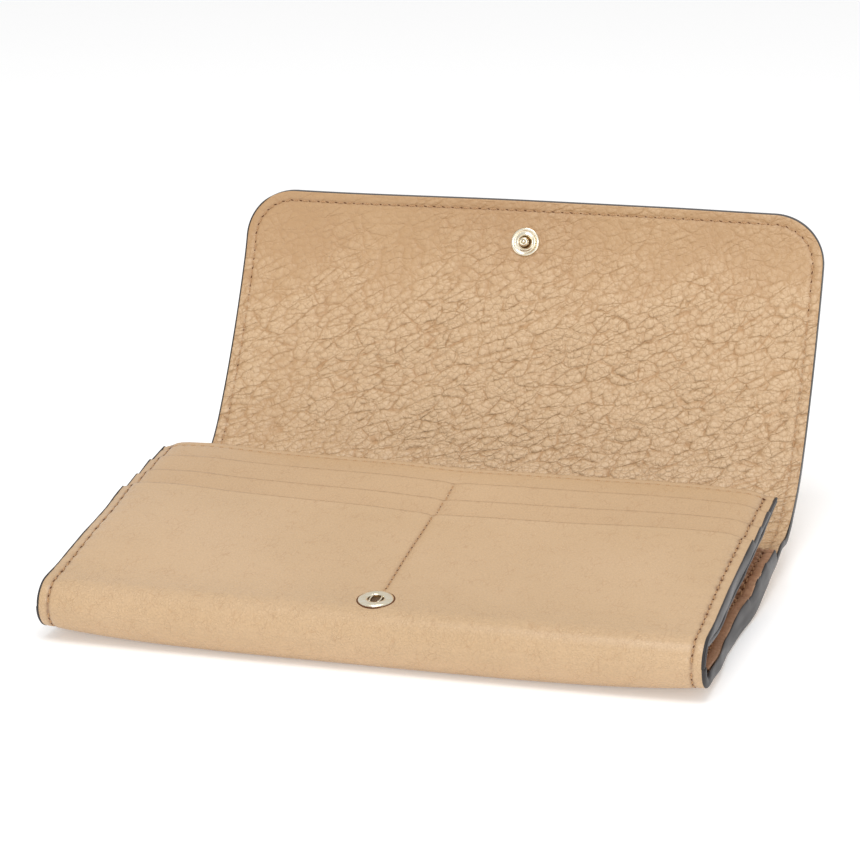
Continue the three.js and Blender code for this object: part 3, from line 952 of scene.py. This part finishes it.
NOSE_BLEND = 20 * DEG * NOSE_RADIUS
FOLD_BLEND = 5


def surface_point(place, s, height=0.0):
    return tuple(put_in_frame(place(np.array(0.0), np.array(s), height))[0])


def bend_nose_below(obj):
    hinge = NOSE_RADIUS * (LOWER_HINGE_ANGLE - 180) * DEG
    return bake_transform(obj, "back_panel", "fold", surface_point(shell, hinge + NOSE_BLEND),
                    surface_point(shell, hinge - NOSE_BLEND))


def bend_nose_above(obj):
    hinge = NOSE_RADIUS * (180 - UPPER_HINGE_ANGLE) * DEG
    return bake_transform(obj, "fold", "front_panel", surface_point(front, hinge - NOSE_BLEND),
                    surface_point(front, hinge + NOSE_BLEND))


def bend_spine(obj):
    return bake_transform(obj, "back_panel", "spine", surface_point(shell, SPINE_FOLD - FOLD_BLEND),
                    surface_point(shell, SPINE_FOLD + FOLD_BLEND))


def bend_flap(obj):
    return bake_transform(obj, "spine", "flap", surface_point(shell, FLAP_FOLD - FOLD_BLEND),
                    surface_point(shell, FLAP_FOLD + BOARD_RISE))


def finish_piece(obj, bend=None, body=None, stands_for=()):
    if bend:
        bend(obj)
    else:
        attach(obj, body)
    if stands_for:
        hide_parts(*stands_for)


# ---------------- outer leather

def seam_columns(half=HALF_WIDTH, step=2.0, extra=()):
    seams = (half - SEAM_INSET, SEAM_INSET - half, *extra)
    return steps(-half, half, step, seams, fine_step=0.3)


def make_back_and_spine_leather():
    for word, start, end, step, bend in (("back", 0, BACK_END, 1.2, bend_nose_below),
                                         ("spine", BACK_END, SPINE_MIDDLE, 0.9, bend_spine)):
        x, s = np.meshgrid(seam_columns(), joined_steps(start, end, step))
        edge = side_distance(x)
        piece = skin(f"{word}_leather", shell, x, s, 0, OUTER_LEATHER, OUTER, edge, None, -1,
                     under_relief=groove(edge - SEAM_INSET))
        finish_piece(piece, bend, None, [f"{word}_outer_leather"])


def flap_half(s):
    """Half the flap's width at a distance along it, with its round corners."""
    into = np.clip(s - (FLAP_TIP - FLAP_CORNER), 0, FLAP_CORNER)
    return HALF_FLAP - FLAP_CORNER + np.sqrt(FLAP_CORNER ** 2 - into ** 2)


def flap_edge_distance(x, s, inset=0.0):
    """How far inside the flap's outline a point lies."""
    half, tip, corner = HALF_FLAP - inset, FLAP_TIP - inset, FLAP_CORNER - inset
    across = np.abs(x) - (half - corner)
    up = s - (tip - corner)
    outside = np.hypot(np.maximum(across, 0), np.maximum(up, 0))
    return corner - outside - np.minimum(np.maximum(across, up), 0)


def flap_rows(start, step):
    """Rows up the flap, closing up towards its tip so that the corners come out round."""
    low = joined_steps(start, FLAP_TIP - FLAP_CORNER, step)
    turns = np.linspace(0, 90, round(FLAP_CORNER * 1.9 / step) + 1)[1:] * DEG
    corner = FLAP_TIP - FLAP_CORNER + FLAP_CORNER * np.sin(turns)
    return np.concatenate([low, corner])


def flap_grid(step, start=SPINE_MIDDLE, inset=0.0):
    rows = flap_rows(start, step)
    if inset:
        rows = np.minimum(rows, FLAP_TIP) - inset * smooth(rows, FLAP_TIP - 60, FLAP_TIP)
    x, s = np.meshgrid(seam_columns(HALF_FLAP, step), rows)
    outline = flap_half(s + inset) - inset
    return x / HALF_FLAP * outline, s


def make_flap_leather():
    x, s = flap_grid(1.6)
    distance = flap_edge_distance(x, s)
    piece = skin("flap_leather", shell, x, s, 0, FLAP_LEATHER, OUTER, distance, None, -1,
                 under_relief=groove(distance - SEAM_INSET))
    finish_piece(piece, bend_flap, None, ["flap_outer_leather"])


def front_rows(end, step):
    """Rows from the middle of the nose, where two pieces meet, to a cut edge."""
    seam_free = 3.0
    return np.concatenate([joined_steps(0, seam_free, step)[:-2], steps(seam_free, end, step)])


def make_front_face():
    """The outer leather over the upper nose and the front, as far as the lowest mouths."""
    end = FRONT_ARC + FACE_MOUTH
    columns = seam_columns(step=1.6, extra=(CENTRE_SEAM_X, CENTRE_SEAM_X + CENTRE_SEAM_LEAN))
    rows = front_rows(end, 1.1)
    x, s = np.meshgrid(columns, rows)
    edge = np.minimum(side_distance(x), end - s)
    centre = groove(x - centre_seam(s - FRONT_ARC), FACE_CENTRE_DEPTH)
    centre = centre * smooth(s - FRONT_ARC, 9, 11)
    relief = groove(side_distance(x) - SEAM_INSET) + centre + front_wrinkles(x, s - FRONT_ARC)
    piece = skin("front_leather", front, x, s, -OUTER_LEATHER, 0, OUTER, edge, relief,
                 stain=mouth_burnish_and_shade(end - s, FACE_BURNISH_AND_SHADE))
    finish_piece(piece, bend_nose_above, None,
                 ["front_face_leather", "fold_outer_leather"])


def mouth_burnish_and_shade(distance, strength):
    """Cut mouths are painted brown along their edge: partly burnish, partly the painted shade
    of the gap under the edge.
    """
    return strength * np.exp(-(distance / MOUTH_DARK_WIDTH) ** 2)


def front_wrinkles(x, v):
    """Soft puckers that the side seams draw in the face leather."""
    near = np.exp(-((side_distance(x) - SEAM_INSET) / WRINKLE_REACH) ** 2)
    wave = np.sin(2 * math.pi * v / WRINKLE_PITCH + 1.4 * np.sin(v / 9.0) + np.sign(x))
    return WRINKLE_HEIGHT * near * wave * smooth(v, -8, 6)


def make_linings():
    low = OUTER_LEATHER + GAP
    high = low + LINING
    x, s = np.meshgrid(seam_columns(), joined_steps(0, BACK_END, 1.6))
    piece = skin("back_panel_lining", shell, x, s, low, high, PEBBLED, side_distance(x), None)
    finish_piece(piece, bend_nose_below, None, ["back_lining", "fold_lining"])

    x, s = np.meshgrid(seam_columns(step=0.8), joined_steps(BACK_END, SPINE_MIDDLE, 0.8))
    piece = skin("spine_panel_lining", shell, x, s, low, spine_top(s), PEBBLED,
                 side_distance(x), groove(side_distance(x) - SEAM_INSET))
    set_values(piece, "relief", smooth(side_distance(x), 0.3, 1.0))
    add_pebble_relief(piece, PEBBLE_HEIGHT)
    finish_piece(piece, bend_spine, None, ["spine_lining"])

    x, s = flap_grid(0.78)
    distance = flap_edge_distance(x, s)
    top = flap_top()
    relief = groove(distance - SEAM_INSET, FLAP_SEAM_DEPTH)
    start = np.interp(s, [SPINE_MIDDLE, FLAP_FOLD + BOARD_RISE], [low, top - FLAP_LINING])
    piece = skin("flap_panel_lining", shell, x, s, start, spine_top(s), PEBBLED, distance, relief)
    set_values(piece, "relief", smooth(distance, 0.3, 1.2))
    add_pebble_relief(piece, PEBBLE_HEIGHT)
    finish_piece(piece, bend_flap, None, ["flap_lining"])


def flap_top():
    return FLAP_LEATHER + FLAP_BOARD + FLAP_LINING + 2 * GAP


def spine_top(s):
    """The lining's upper side: low over the spine, and higher over the flap's board."""
    return np.interp(s, [SPINE_MIDDLE, FLAP_FOLD + BOARD_RISE],
                     [OUTER_LEATHER + GAP + LINING, flap_top()])


def make_flap_board():
    x, s = flap_grid(3.0, FLAP_FOLD + BOARD_START, BOARD_INSET)
    low = FLAP_LEATHER + GAP
    piece = skin("flap_stiffener", shell, x, s, low, low + FLAP_BOARD, BOARD)
    finish_piece(piece, None, "flap", ["flap_board"])


# ---------------- card pockets

def make_front_pockets():
    height = -OUTER_LEATHER - GAP
    rows = (("middle", MIDDLE_MOUTH), ("upper", UPPER_MOUTH))
    for row, mouth in rows:
        start, end = FRONT_ARC + mouth - STRIP_DEPTH, FRONT_ARC + mouth
        x, s = np.meshgrid(seam_columns(step=1.6, extra=(CENTRE_SEAM_X,)), steps(start, end, 1.3))
        edge = np.minimum(side_distance(x), np.minimum(s - start, end - s))
        centre = groove(x - CENTRE_SEAM_X, STRIP_CENTRE_DEPTH)
        relief = groove(side_distance(x) - SEAM_INSET) + centre
        piece = skin(f"front_pocket_{row}", front, x, s, height - STRIP, height, STRIP_LEATHER,
                     edge, relief, stain=mouth_burnish_and_shade(end - s, STRIP_BURNISH_AND_SHADE))
        finish_piece(piece, None, "front_panel", [f"front_card_strip_{row}"])
        height -= STRIP + GAP
    start, end = FRONT_ARC + BACKING_START, FRONT_ARC + PANEL_LENGTH
    top_seam = end - TOP_SEAM_INSET
    x, s = np.meshgrid(seam_columns(step=1.6), steps(start, end, 1.6, (top_seam,)))
    edge = np.minimum(side_distance(x), np.minimum(s - start, end - s))
    relief = groove(side_distance(x) - SEAM_INSET) + groove(s - top_seam, TOP_SEAM_DEPTH)
    piece = skin("front_pocket_back", front, x, s, height - LINING, height, STRIP_LEATHER, edge,
                 relief, stain=mouth_burnish_and_shade(end - s, TOP_BURNISH_AND_SHADE))
    finish_piece(piece, None, "front_panel", ["front_card_backing"])


def front_lining_top(s):
    """The slip pocket's lining drops under the card layers just behind the nose."""
    under_nose = -OUTER_LEATHER - GAP
    layers = OUTER_LEATHER + 2 * STRIP + LINING + 4 * GAP
    v = s - FRONT_ARC
    return np.interp(v, [-2, 0, PANEL_LINING_DROP], [under_nose, -2 * OUTER_LEATHER, -layers])


def make_front_lining():
    end = FRONT_ARC + PANEL_LENGTH
    rows = front_rows(end, 1.6)
    x, s = np.meshgrid(seam_columns(), rows)
    top = front_lining_top(s)
    edge = np.minimum(side_distance(x), end - s)
    piece = skin("front_slip_lining", front, x, s, top - LINING, top, SHADED_LINING, edge)
    finish_piece(piece, bend_nose_above, None, ["front_lining"])


def inner_gathers(x, t):
    """Puckers that run square to the side seams of the inner panel."""
    from_seam = np.clip(side_distance(x) - SEAM_INSET, 0, None)
    reach = np.exp(-(from_seam / GATHER_REACH) ** 2)
    reach = reach * smooth(side_distance(x), SEAM_INSET, SEAM_INSET + 1)
    wave = np.sin(2 * math.pi * t / GATHER_PITCH + 1.3 * np.sin(t / 4.0) + 0.25 * from_seam)
    return GATHER_HEIGHT * reach * wave


INNER_LAYERS = [
    ("back", "inner_card_backing", 0, INNER_LENGTH, LINING),
    ("upper", "inner_card_strip_upper", UPPER_MOUTH - STRIP_DEPTH - INNER_START[0],
     UPPER_MOUTH - INNER_START[0], STRIP),
    ("middle", "inner_card_strip_middle", MIDDLE_MOUTH - STRIP_DEPTH - INNER_START[0],
     MIDDLE_MOUTH - INNER_START[0], STRIP),
    ("face", "inner_face_leather", 0, FACE_MOUTH - INNER_START[0], INNER_FACE),
]


def make_inner_panel():
    height = 0.0
    for short, node, start, end, thickness in INNER_LAYERS:
        x, t = np.meshgrid(seam_columns(step=1.8), steps(start, end, 0.6))
        edge = np.minimum(side_distance(x), np.minimum(t - start, end - t))
        relief = groove(side_distance(x) - SEAM_INSET) + inner_gathers(x, t)
        if short == "back":
            relief = relief + groove(end - t - TOP_SEAM_INSET, INNER_TOP_DEPTH)
        piece = skin(f"inner_pocket_{short}", inner, x, t, height, height + thickness,
                     SHADED_LINING, edge, relief)
        finish_piece(piece, None, "back_panel", [node])
        height += thickness + GAP


def inner_top(t):
    """The height of the inner panel's stack at a distance along it."""
    tops = []
    height = 0.0
    for *_, end, thickness in INNER_LAYERS:
        tops.append(np.where(t <= end, height + thickness, 0))
        height += thickness + GAP
    return np.max(tops, axis=0)


# ---------------- painted edges

BACK_EDGE_GAP = 1.5
SIDES = ((-1, "left"), (1, "right"))


def side_stations(start, end, side, step=1.0):
    s = np.linspace(start, end, round((end - start) / step) + 1)
    return side * HALF_WIDTH * np.ones(len(s)), s, side * np.ones(len(s)), np.zeros(len(s))


def end_stations(s):
    """Places along a free edge that runs across the wallet, at one distance s."""
    across = np.linspace(-HALF_WIDTH, HALF_WIDTH, 120)
    zero = np.zeros(len(across))
    return across, zero + s, zero, zero + 1


def wavy(s, size=0.16):
    return size * (np.sin(0.21 * s) + 0.6 * np.sin(0.47 * s + 1.0))


def stack_height(x, s):
    """From the outer leather's underside to the inner panel's top, at the wallet's side."""
    y, _, _ = along(SHELL, s)
    t = (y - INNER_START[0]) / math.cos(INNER_SLOPE * DEG)
    ease = 1.2
    tops = np.mean([inner(x, np.clip(t + shift, 0, INNER_LENGTH),
                          inner_top(np.clip(t + shift, 0, INNER_LENGTH)))[..., 2]
                    for shift in (-ease, 0, ease)], axis=0)
    floor = shell(x, s, 0)[..., 2]
    nose = OUTER_LEATHER + GAP + LINING + PAINT_LIP
    joined = smooth(y, INNER_START[0] - 10, INNER_START[0] - 2)
    return nose + (tops - floor - nose) * joined


def make_back_edges():
    for side, word in SIDES:
        stations = side_stations(0, SPINE_FOLD - BACK_EDGE_GAP, side, 0.8)
        x, s, _, _ = stations
        bulge = BACK_BULGE + wavy(s, BACK_BULGE_WAVE)
        paint_edge(f"back_edge_{word}", shell, stations, np.zeros(len(s)),
                   stack_height(x, s) + wavy(s), bulge, bend_nose_below)


def make_spine_edges():
    for side, word in SIDES:
        stations = side_stations(SPINE_FOLD - BACK_EDGE_GAP, SPINE_MIDDLE, side)
        s = stations[1]
        paint_edge(f"spine_edge_{word}", shell, stations, np.zeros(len(s)), spine_top(s),
                   bend=bend_spine)


def flap_outline(inset, pitch, start):
    """Round the flap from its right side at start to its left: x, s and the outward way."""
    half, tip, corner = HALF_FLAP - inset, FLAP_TIP - inset, FLAP_CORNER - inset
    rise = tip - corner - start
    arc = corner * math.pi / 2
    flat = 2 * (half - corner)
    total = 2 * rise + 2 * arc + flat
    d = np.linspace(0, total, round(total / pitch) + 1)
    mirrored = np.minimum(d, total - d)
    side = np.where(d <= total / 2, 1.0, -1.0)
    turn = np.clip((mirrored - rise) / corner, 0, math.pi / 2)
    x = half - corner + corner * np.cos(turn) - np.clip(mirrored - rise - arc, 0, None)
    s = start + np.minimum(mirrored, rise) + corner * np.sin(turn)
    return side * x, s, side * np.cos(turn), np.sin(turn)


def make_flap_edge():
    x, s, out_x, out_s = flap_outline(0, 1.0, SPINE_MIDDLE)
    x = x + np.sign(x) * (HALF_WIDTH - HALF_FLAP) * (1 - smooth(s, SPINE_MIDDLE, FLAP_FOLD + 8))
    left = smooth(-x, 86, 90)
    bulge = FLAP_PAINT_BULGE + (PAINT_BULGE - FLAP_PAINT_BULGE) * left
    paint_edge("flap_edge", shell, (x, s, out_x, out_s), np.zeros(len(s)),
               spine_top(s) - PAINT_SINK * (1 - left), bulge, bend_flap)


def front_top(v):
    """The outer height of the front panel's stack, stepping down past each mouth."""
    down = OUTER_LEATHER + GAP
    strip = STRIP + GAP
    ease = 1.0
    steps_down = [(FACE_MOUTH, down), (MIDDLE_MOUTH, strip), (UPPER_MOUTH, strip)]
    return -sum(drop * smooth(v, mouth - 0.2, mouth + ease) for mouth, drop in steps_down)


def card_stack_bottom(v):
    """The underside of the card layers, or of the outer leather where they haven't begun."""
    deep = -(OUTER_LEATHER + 2 * STRIP + LINING + 3 * GAP)
    return -OUTER_LEATHER + (deep + OUTER_LEATHER) * smooth(v, -4, BACKING_START)


def make_front_edges():
    end = FRONT_ARC + PANEL_LENGTH
    for side, word in SIDES:
        stations = side_stations(0, end, side, 0.8)
        s = stations[1]
        v = s - FRONT_ARC
        bulge = FRONT_BULGES[word] + wavy(s, FRONT_BULGE_WAVE)
        paint_edge(f"front_edge_{word}", front, stations, card_stack_bottom(v),
                   front_top(v) + wavy(s, FRONT_HEIGHT_WAVE), bulge, bend_nose_above)
        droop = SLIP_DROOP * smooth(v, 60, 78) * (1 - smooth(v, 82, PANEL_LENGTH))
        low = front_lining_top(s) - LINING
        bulge = SLIP_BULGE + wavy(s + 9, SLIP_BULGE_WAVE)
        paint_edge(f"front_lining_edge_{word}", front, stations, low - droop,
                   card_stack_bottom(v) - 0.1, bulge, bend_nose_above)
    stations = end_stations(end)
    v = stations[1] - FRONT_ARC
    paint_edge("front_free_edge", front, stations, card_stack_bottom(v),
               front_top(v) - PAINT_SINK, FREE_BULGE, body="front_panel")
    low = front_lining_top(stations[1]) - LINING
    paint_edge("front_lining_free_edge", front, stations, low, low + LINING,
               SLIP_FREE_BULGE, body="front_panel")


def make_inner_free_edge():
    stations = end_stations(INNER_LENGTH)
    zero = stations[2]
    paint_edge("inner_free_edge", inner, stations, zero, zero + 0.5 * LINING,
               INNER_FREE_BULGE, body="back_panel")


# ---------------- seams

SIDE_SEAM_X = HALF_WIDTH - SEAM_INSET
# How far a row of stitches stays clear of the mouth that it starts from, and of the one it ends at.
CLEAR_START, CLEAR_END = 0.8, 0.6


def both_sides(start, end):
    return join_marks(straight_marks(SIDE_SEAM_X, start, SIDE_SEAM_X, end),
                      straight_marks(-SIDE_SEAM_X, start, -SIDE_SEAM_X, end))


def across_top(s):
    return straight_marks(-SIDE_SEAM_X, s, SIDE_SEAM_X, s)


def make_flap_stitches():
    x, s, out_x, out_s = flap_outline(SEAM_INSET, STITCH_PITCH, SPINE_MIDDLE + 1.5)
    marks = (x[:-1], s[:-1], -out_s[:-1], out_x[:-1])
    sew("flap_stitches", shell, marks, flap_groove_floor, 1, bend_flap)
    sew("flap_back_stitches", shell, marks, SEAM_DEPTH - THREAD_LIFT, -1, bend_flap)


def flap_groove_floor(x, s):
    return spine_top(s) - FLAP_SEAM_DEPTH + THREAD_LIFT


def make_spine_stitches():
    marks = both_sides(BACK_END + 1.5, SPINE_MIDDLE - 1.0)
    sew("spine_back_stitches", shell, marks, SEAM_DEPTH - THREAD_LIFT, -1, bend_spine)
    marks = both_sides(SPINE_FOLD + 2.0, SPINE_MIDDLE - 1.0)
    top = OUTER_LEATHER + GAP + LINING
    sew("spine_stitches", shell, marks, top - SEAM_DEPTH + THREAD_LIFT, 1, bend_spine)


def make_back_stitches():
    marks = both_sides(1.0, BACK_END - 1.5)
    sew("back_stitches", shell, marks, SEAM_DEPTH - THREAD_LIFT, -1, bend_nose_below)


def make_front_stitches():
    mouth = FRONT_ARC + FACE_MOUTH - CLEAR_START
    seam_end = SOCKET_FROM_NOSE - SOCKET_DROP + SOCKET_RADIUS + 0.4
    centre = straight_marks(CENTRE_SEAM_X, mouth, centre_seam(seam_end), FRONT_ARC + seam_end)
    groove_floor = -SEAM_DEPTH + 0.08
    sew("front_stitches", front, join_marks(both_sides(1.5, mouth), centre), groove_floor, 1,
        bend_nose_above)
    down = -OUTER_LEATHER - GAP
    top_row = PANEL_LENGTH - TOP_SEAM_INSET
    rows = ((FACE_MOUTH, MIDDLE_MOUTH, "middle", down),
            (MIDDLE_MOUTH, UPPER_MOUTH, "upper", down - STRIP - GAP),
            (UPPER_MOUTH, top_row, "top", down - 2 * (STRIP + GAP)))
    for start, end, word, height in rows:
        start_s, end_s = FRONT_ARC + start + CLEAR_START, FRONT_ARC + end - CLEAR_END
        if word == "top":
            middle = across_top(FRONT_ARC + top_row)
        else:
            middle = straight_marks(CENTRE_SEAM_X, end_s, CENTRE_SEAM_X, start_s)
        marks = join_marks(both_sides(start_s, end_s), middle)
        sew(f"front_pocket_{word}_stitches", front, marks, height + groove_floor, 1,
            body="front_panel")


def make_inner_stitches():
    mouth, top_row = FACE_MOUTH - INNER_START[0], INNER_LENGTH - TOP_SEAM_INSET
    marks = join_marks(both_sides(2.0, mouth - 1.0), both_sides(mouth + 1.5, top_row - 1),
                       across_top(top_row))
    sew("inner_pocket_stitches", inner, marks, inner_groove_floor, 1, body="back_panel")


def inner_groove_floor(x, t):
    return inner_top(t) - SEAM_DEPTH + 0.1


# ---------------- snap fastener

def frame_on(place, x, s, height):
    """A point on a surface near the middle of the wallet, and the way that stands on it."""
    s = np.array(s, float)
    here = place(np.array(x), s, height)
    ahead = place(np.array(x), s + 0.5, height)
    heading = (ahead - here) / np.linalg.norm(ahead - here)
    return here, np.cross([1.0, 0, 0], heading)


def turn_metal(name, profile, centre, up, material, body, *stands_for):
    piece = lathe(name, profile, centre, up, material)
    finish_piece(piece, None, body, stands_for)


def make_snap_socket():
    centre, up = frame_on(front, SOCKET_X, FRONT_ARC + SOCKET_FROM_NOSE - SOCKET_DROP, 0.0)
    ring = [(2.3, -0.9), (2.25, 0.15), (2.35, 0.42), (2.6, 0.55), (3.0, 0.6), (4.1, 0.62),
            (4.5, 0.56), (4.85, 0.38), (5.0, 0.12), (4.95, -0.5), (4.4, -1.0)]
    turn_metal("snap_socket_ring", ring, centre, up, GOLD, "front_panel", "snap_socket")
    # The eyelet's cup is dark brass: painted shade down in the socket's hole.
    cup = [(0.0, -1.6), (0.0, 0.04), (1.8, 0.04), (2.05, 0.12), (2.2, 0.3), (2.28, 0.3),
           (2.2, -1.3), (4.4, -1.35), (4.5, -1.6)]
    turn_metal("snap_socket_eyelet", cup, centre, up, SHADED_BRASS, "front_panel", "socket_eyelet")
    # A dark brown ring round the socket's ring: painted shade at its foot, where the leather is pressed
    # down.
    rim = [(4.8, -0.2), (4.8, 0.1), (5.15, 0.14), (5.35, 0.08), (5.5, -0.2)]
    piece = lathe("snap_socket_rim_shade", rim, centre, up, HOLE_SHADE)
    finish_piece(piece, None, "front_panel")
    side = np.array([1.0, 0, 0])
    fore = np.cross(up, side)
    half_run = 2.1
    for index, shift in enumerate((-1.25, 1.25)):
        run = np.linspace(-half_run, half_run, 15)
        bow = shift + 0.25 * np.sign(shift) * np.cos(run / half_run * math.pi / 2)
        wire = centre + run[:, None] * fore + bow[:, None] * side + 0.3 * up
        piece = tube(f"snap_spring_wire_{index + 1}", wire, 0.24, GOLD)
        finish_piece(piece, None, "front_panel",
                     ["socket_spring"] if index == 0 else ())


def make_snap_stud():
    centre, up = frame_on(shell, STUD_X, FLAP_TIP - STUD_FROM_TIP, flap_top())
    stud = [(0.75, 0.05), (4.3, 0.05), (4.6, 0.2), (4.6, 0.5), (4.4, 0.72), (4.05, 0.8),
            (3.7, 0.7), (3.45, 0.5), (3.1, 0.48), (2.85, 0.66), (2.6, 0.85), (2.25, 0.85),
            (2.05, 0.66), (1.75, 0.55), (1.35, 0.6), (1.12, 0.85), (1.05, 1.4), (1.15, 1.75),
            (1.4, 2.0), (1.47, 2.3), (1.4, 2.6), (1.15, 2.85), (0.85, 2.95), (0.7, 2.8),
            (0.6, 2.5), (0.7, 2.3)]
    turn_metal("snap_stud_cap", stud, centre, up, GOLD, "flap", "snap_stud")
    # A ring of dark brass in the trough round the stud's ball: painted shade at the ball's foot.
    trough = [(1.0, 0.4), (1.0, 0.72), (1.8, 0.66), (1.95, 0.7), (2.0, 0.4)]
    turn_metal("snap_stud_trough", trough, centre, up, SHADED_BRASS, "flap")
    rivet = [(0.0, -1.55), (2.9, -1.55), (3.4, -1.4), (3.4, -1.25), (0.55, -1.2), (0.55, 2.7),
             (0.4, 2.9), (0.2, 2.98), (0.0, 3.0)]
    turn_metal("snap_stud_rivet", rivet, centre, up, GOLD, "flap", "stud_rivet")


# ---------------- camera, light and floor

CAMERA_AZIMUTH = 17.238
CAMERA_ELEVATION = 15.556
CAMERA_ROLL = -0.54
CAMERA_DISTANCE = 0.89775
CAMERA_TARGET = (0.00402, -0.03416, 0.05402)
CAMERA_LENS = 132.53
SENSOR = 36.0
WORLD_LIGHT = 0.7
# Softboxes: name, azimuth and elevation in degrees, distance and size in metres, power in watts.
SOFTBOXES = [("overhead_softbox", 12, 70, 1.3, 0.7, 7.2), ("front_key", 8, 22, 1.5, 0.3, 3.6)]
FLOOR_HALF = 6.0
FLOOR_HEIGHT = -0.0002
FLOOR_GLOW = 0.24


def view_axes(azimuth, elevation):
    a, e = azimuth * DEG, elevation * DEG
    back = Vector((math.sin(a) * math.cos(e), -math.cos(a) * math.cos(e), math.sin(e)))
    side = Vector((0, 0, 1)).cross(back).normalized()
    return side, back.cross(side), back


def make_camera():
    side, up, back = view_axes(CAMERA_AZIMUTH, CAMERA_ELEVATION)
    roll = CAMERA_ROLL * DEG
    right = math.cos(roll) * side + math.sin(roll) * up
    upright = -math.sin(roll) * side + math.cos(roll) * up
    data = bpy.data.cameras.new("camera")
    data.sensor_width = SENSOR
    data.lens = CAMERA_LENS
    data.clip_start, data.clip_end = 0.05, 20
    camera = bpy.data.objects.new("camera", data)
    bpy.context.scene.collection.objects.link(camera)
    rotation = Matrix((right, upright, back)).transposed().to_4x4()
    place = Vector(CAMERA_TARGET) + back * CAMERA_DISTANCE
    camera.matrix_world = Matrix.Translation(place) @ rotation
    bpy.context.scene.camera = camera


def add_softbox(name, azimuth, elevation, distance, size, power):
    _, _, back = view_axes(azimuth, elevation)
    data = bpy.data.lights.new(name, "AREA")
    data.shape = "SQUARE"
    data.size = size
    data.energy = power
    light = bpy.data.objects.new(name, data)
    light.location = back * distance
    light.rotation_mode = "QUATERNION"
    light.rotation_quaternion = back.to_track_quat("Z", "Y")
    bpy.context.scene.collection.objects.link(light)


def make_light():
    world = bpy.data.worlds.new("studio")
    world.use_nodes = True
    background = world.node_tree.nodes["Background"]
    background.inputs["Color"].default_value = (1.0, 1.0, 1.0, 1.0)
    background.inputs["Strength"].default_value = WORLD_LIGHT
    bpy.context.scene.world = world
    bpy.context.scene.view_settings.view_transform = "Standard"
    for softbox in SOFTBOXES:
        add_softbox(*softbox)


def make_floor():
    mesh = bpy.data.meshes.new("floor")
    corners = [(x * FLOOR_HALF, y * FLOOR_HALF, FLOOR_HEIGHT)
               for x, y in ((-1, -1), (1, -1), (1, 1), (-1, 1))]
    mesh.from_pydata(corners, [], [(0, 1, 2, 3)])
    material, nodes, shader = new_material("white_floor")
    place = nodes.add("ShaderNodeTexCoord").outputs["Object"]
    colour = nodes.mix(nodes.noise(place, 3), (0.9, 0.9, 0.9, 1), (0.92, 0.92, 0.92, 1))
    link(nodes, colour, shader, "Base Color")
    set_inputs(shader, Roughness=0.8, Specular_IOR_Level=0.1, Emission_Color=(1, 1, 1, 1),
               Emission_Strength=FLOOR_GLOW)
    mesh.materials.append(material)
    floor = bpy.data.objects.new("floor", mesh)
    bpy.context.scene.collection.objects.link(floor)


# ---------------- the whole wallet

make_camera()
make_light()
make_floor()
make_back_and_spine_leather()
make_flap_leather()
make_front_face()
make_linings()
make_flap_board()
make_front_pockets()
make_front_lining()
make_inner_panel()
make_back_edges()
make_spine_edges()
make_flap_edge()
make_front_edges()
make_inner_free_edge()
make_flap_stitches()
make_spine_stitches()
make_back_stitches()
make_front_stitches()
make_inner_stitches()
make_snap_socket()
make_snap_stud()
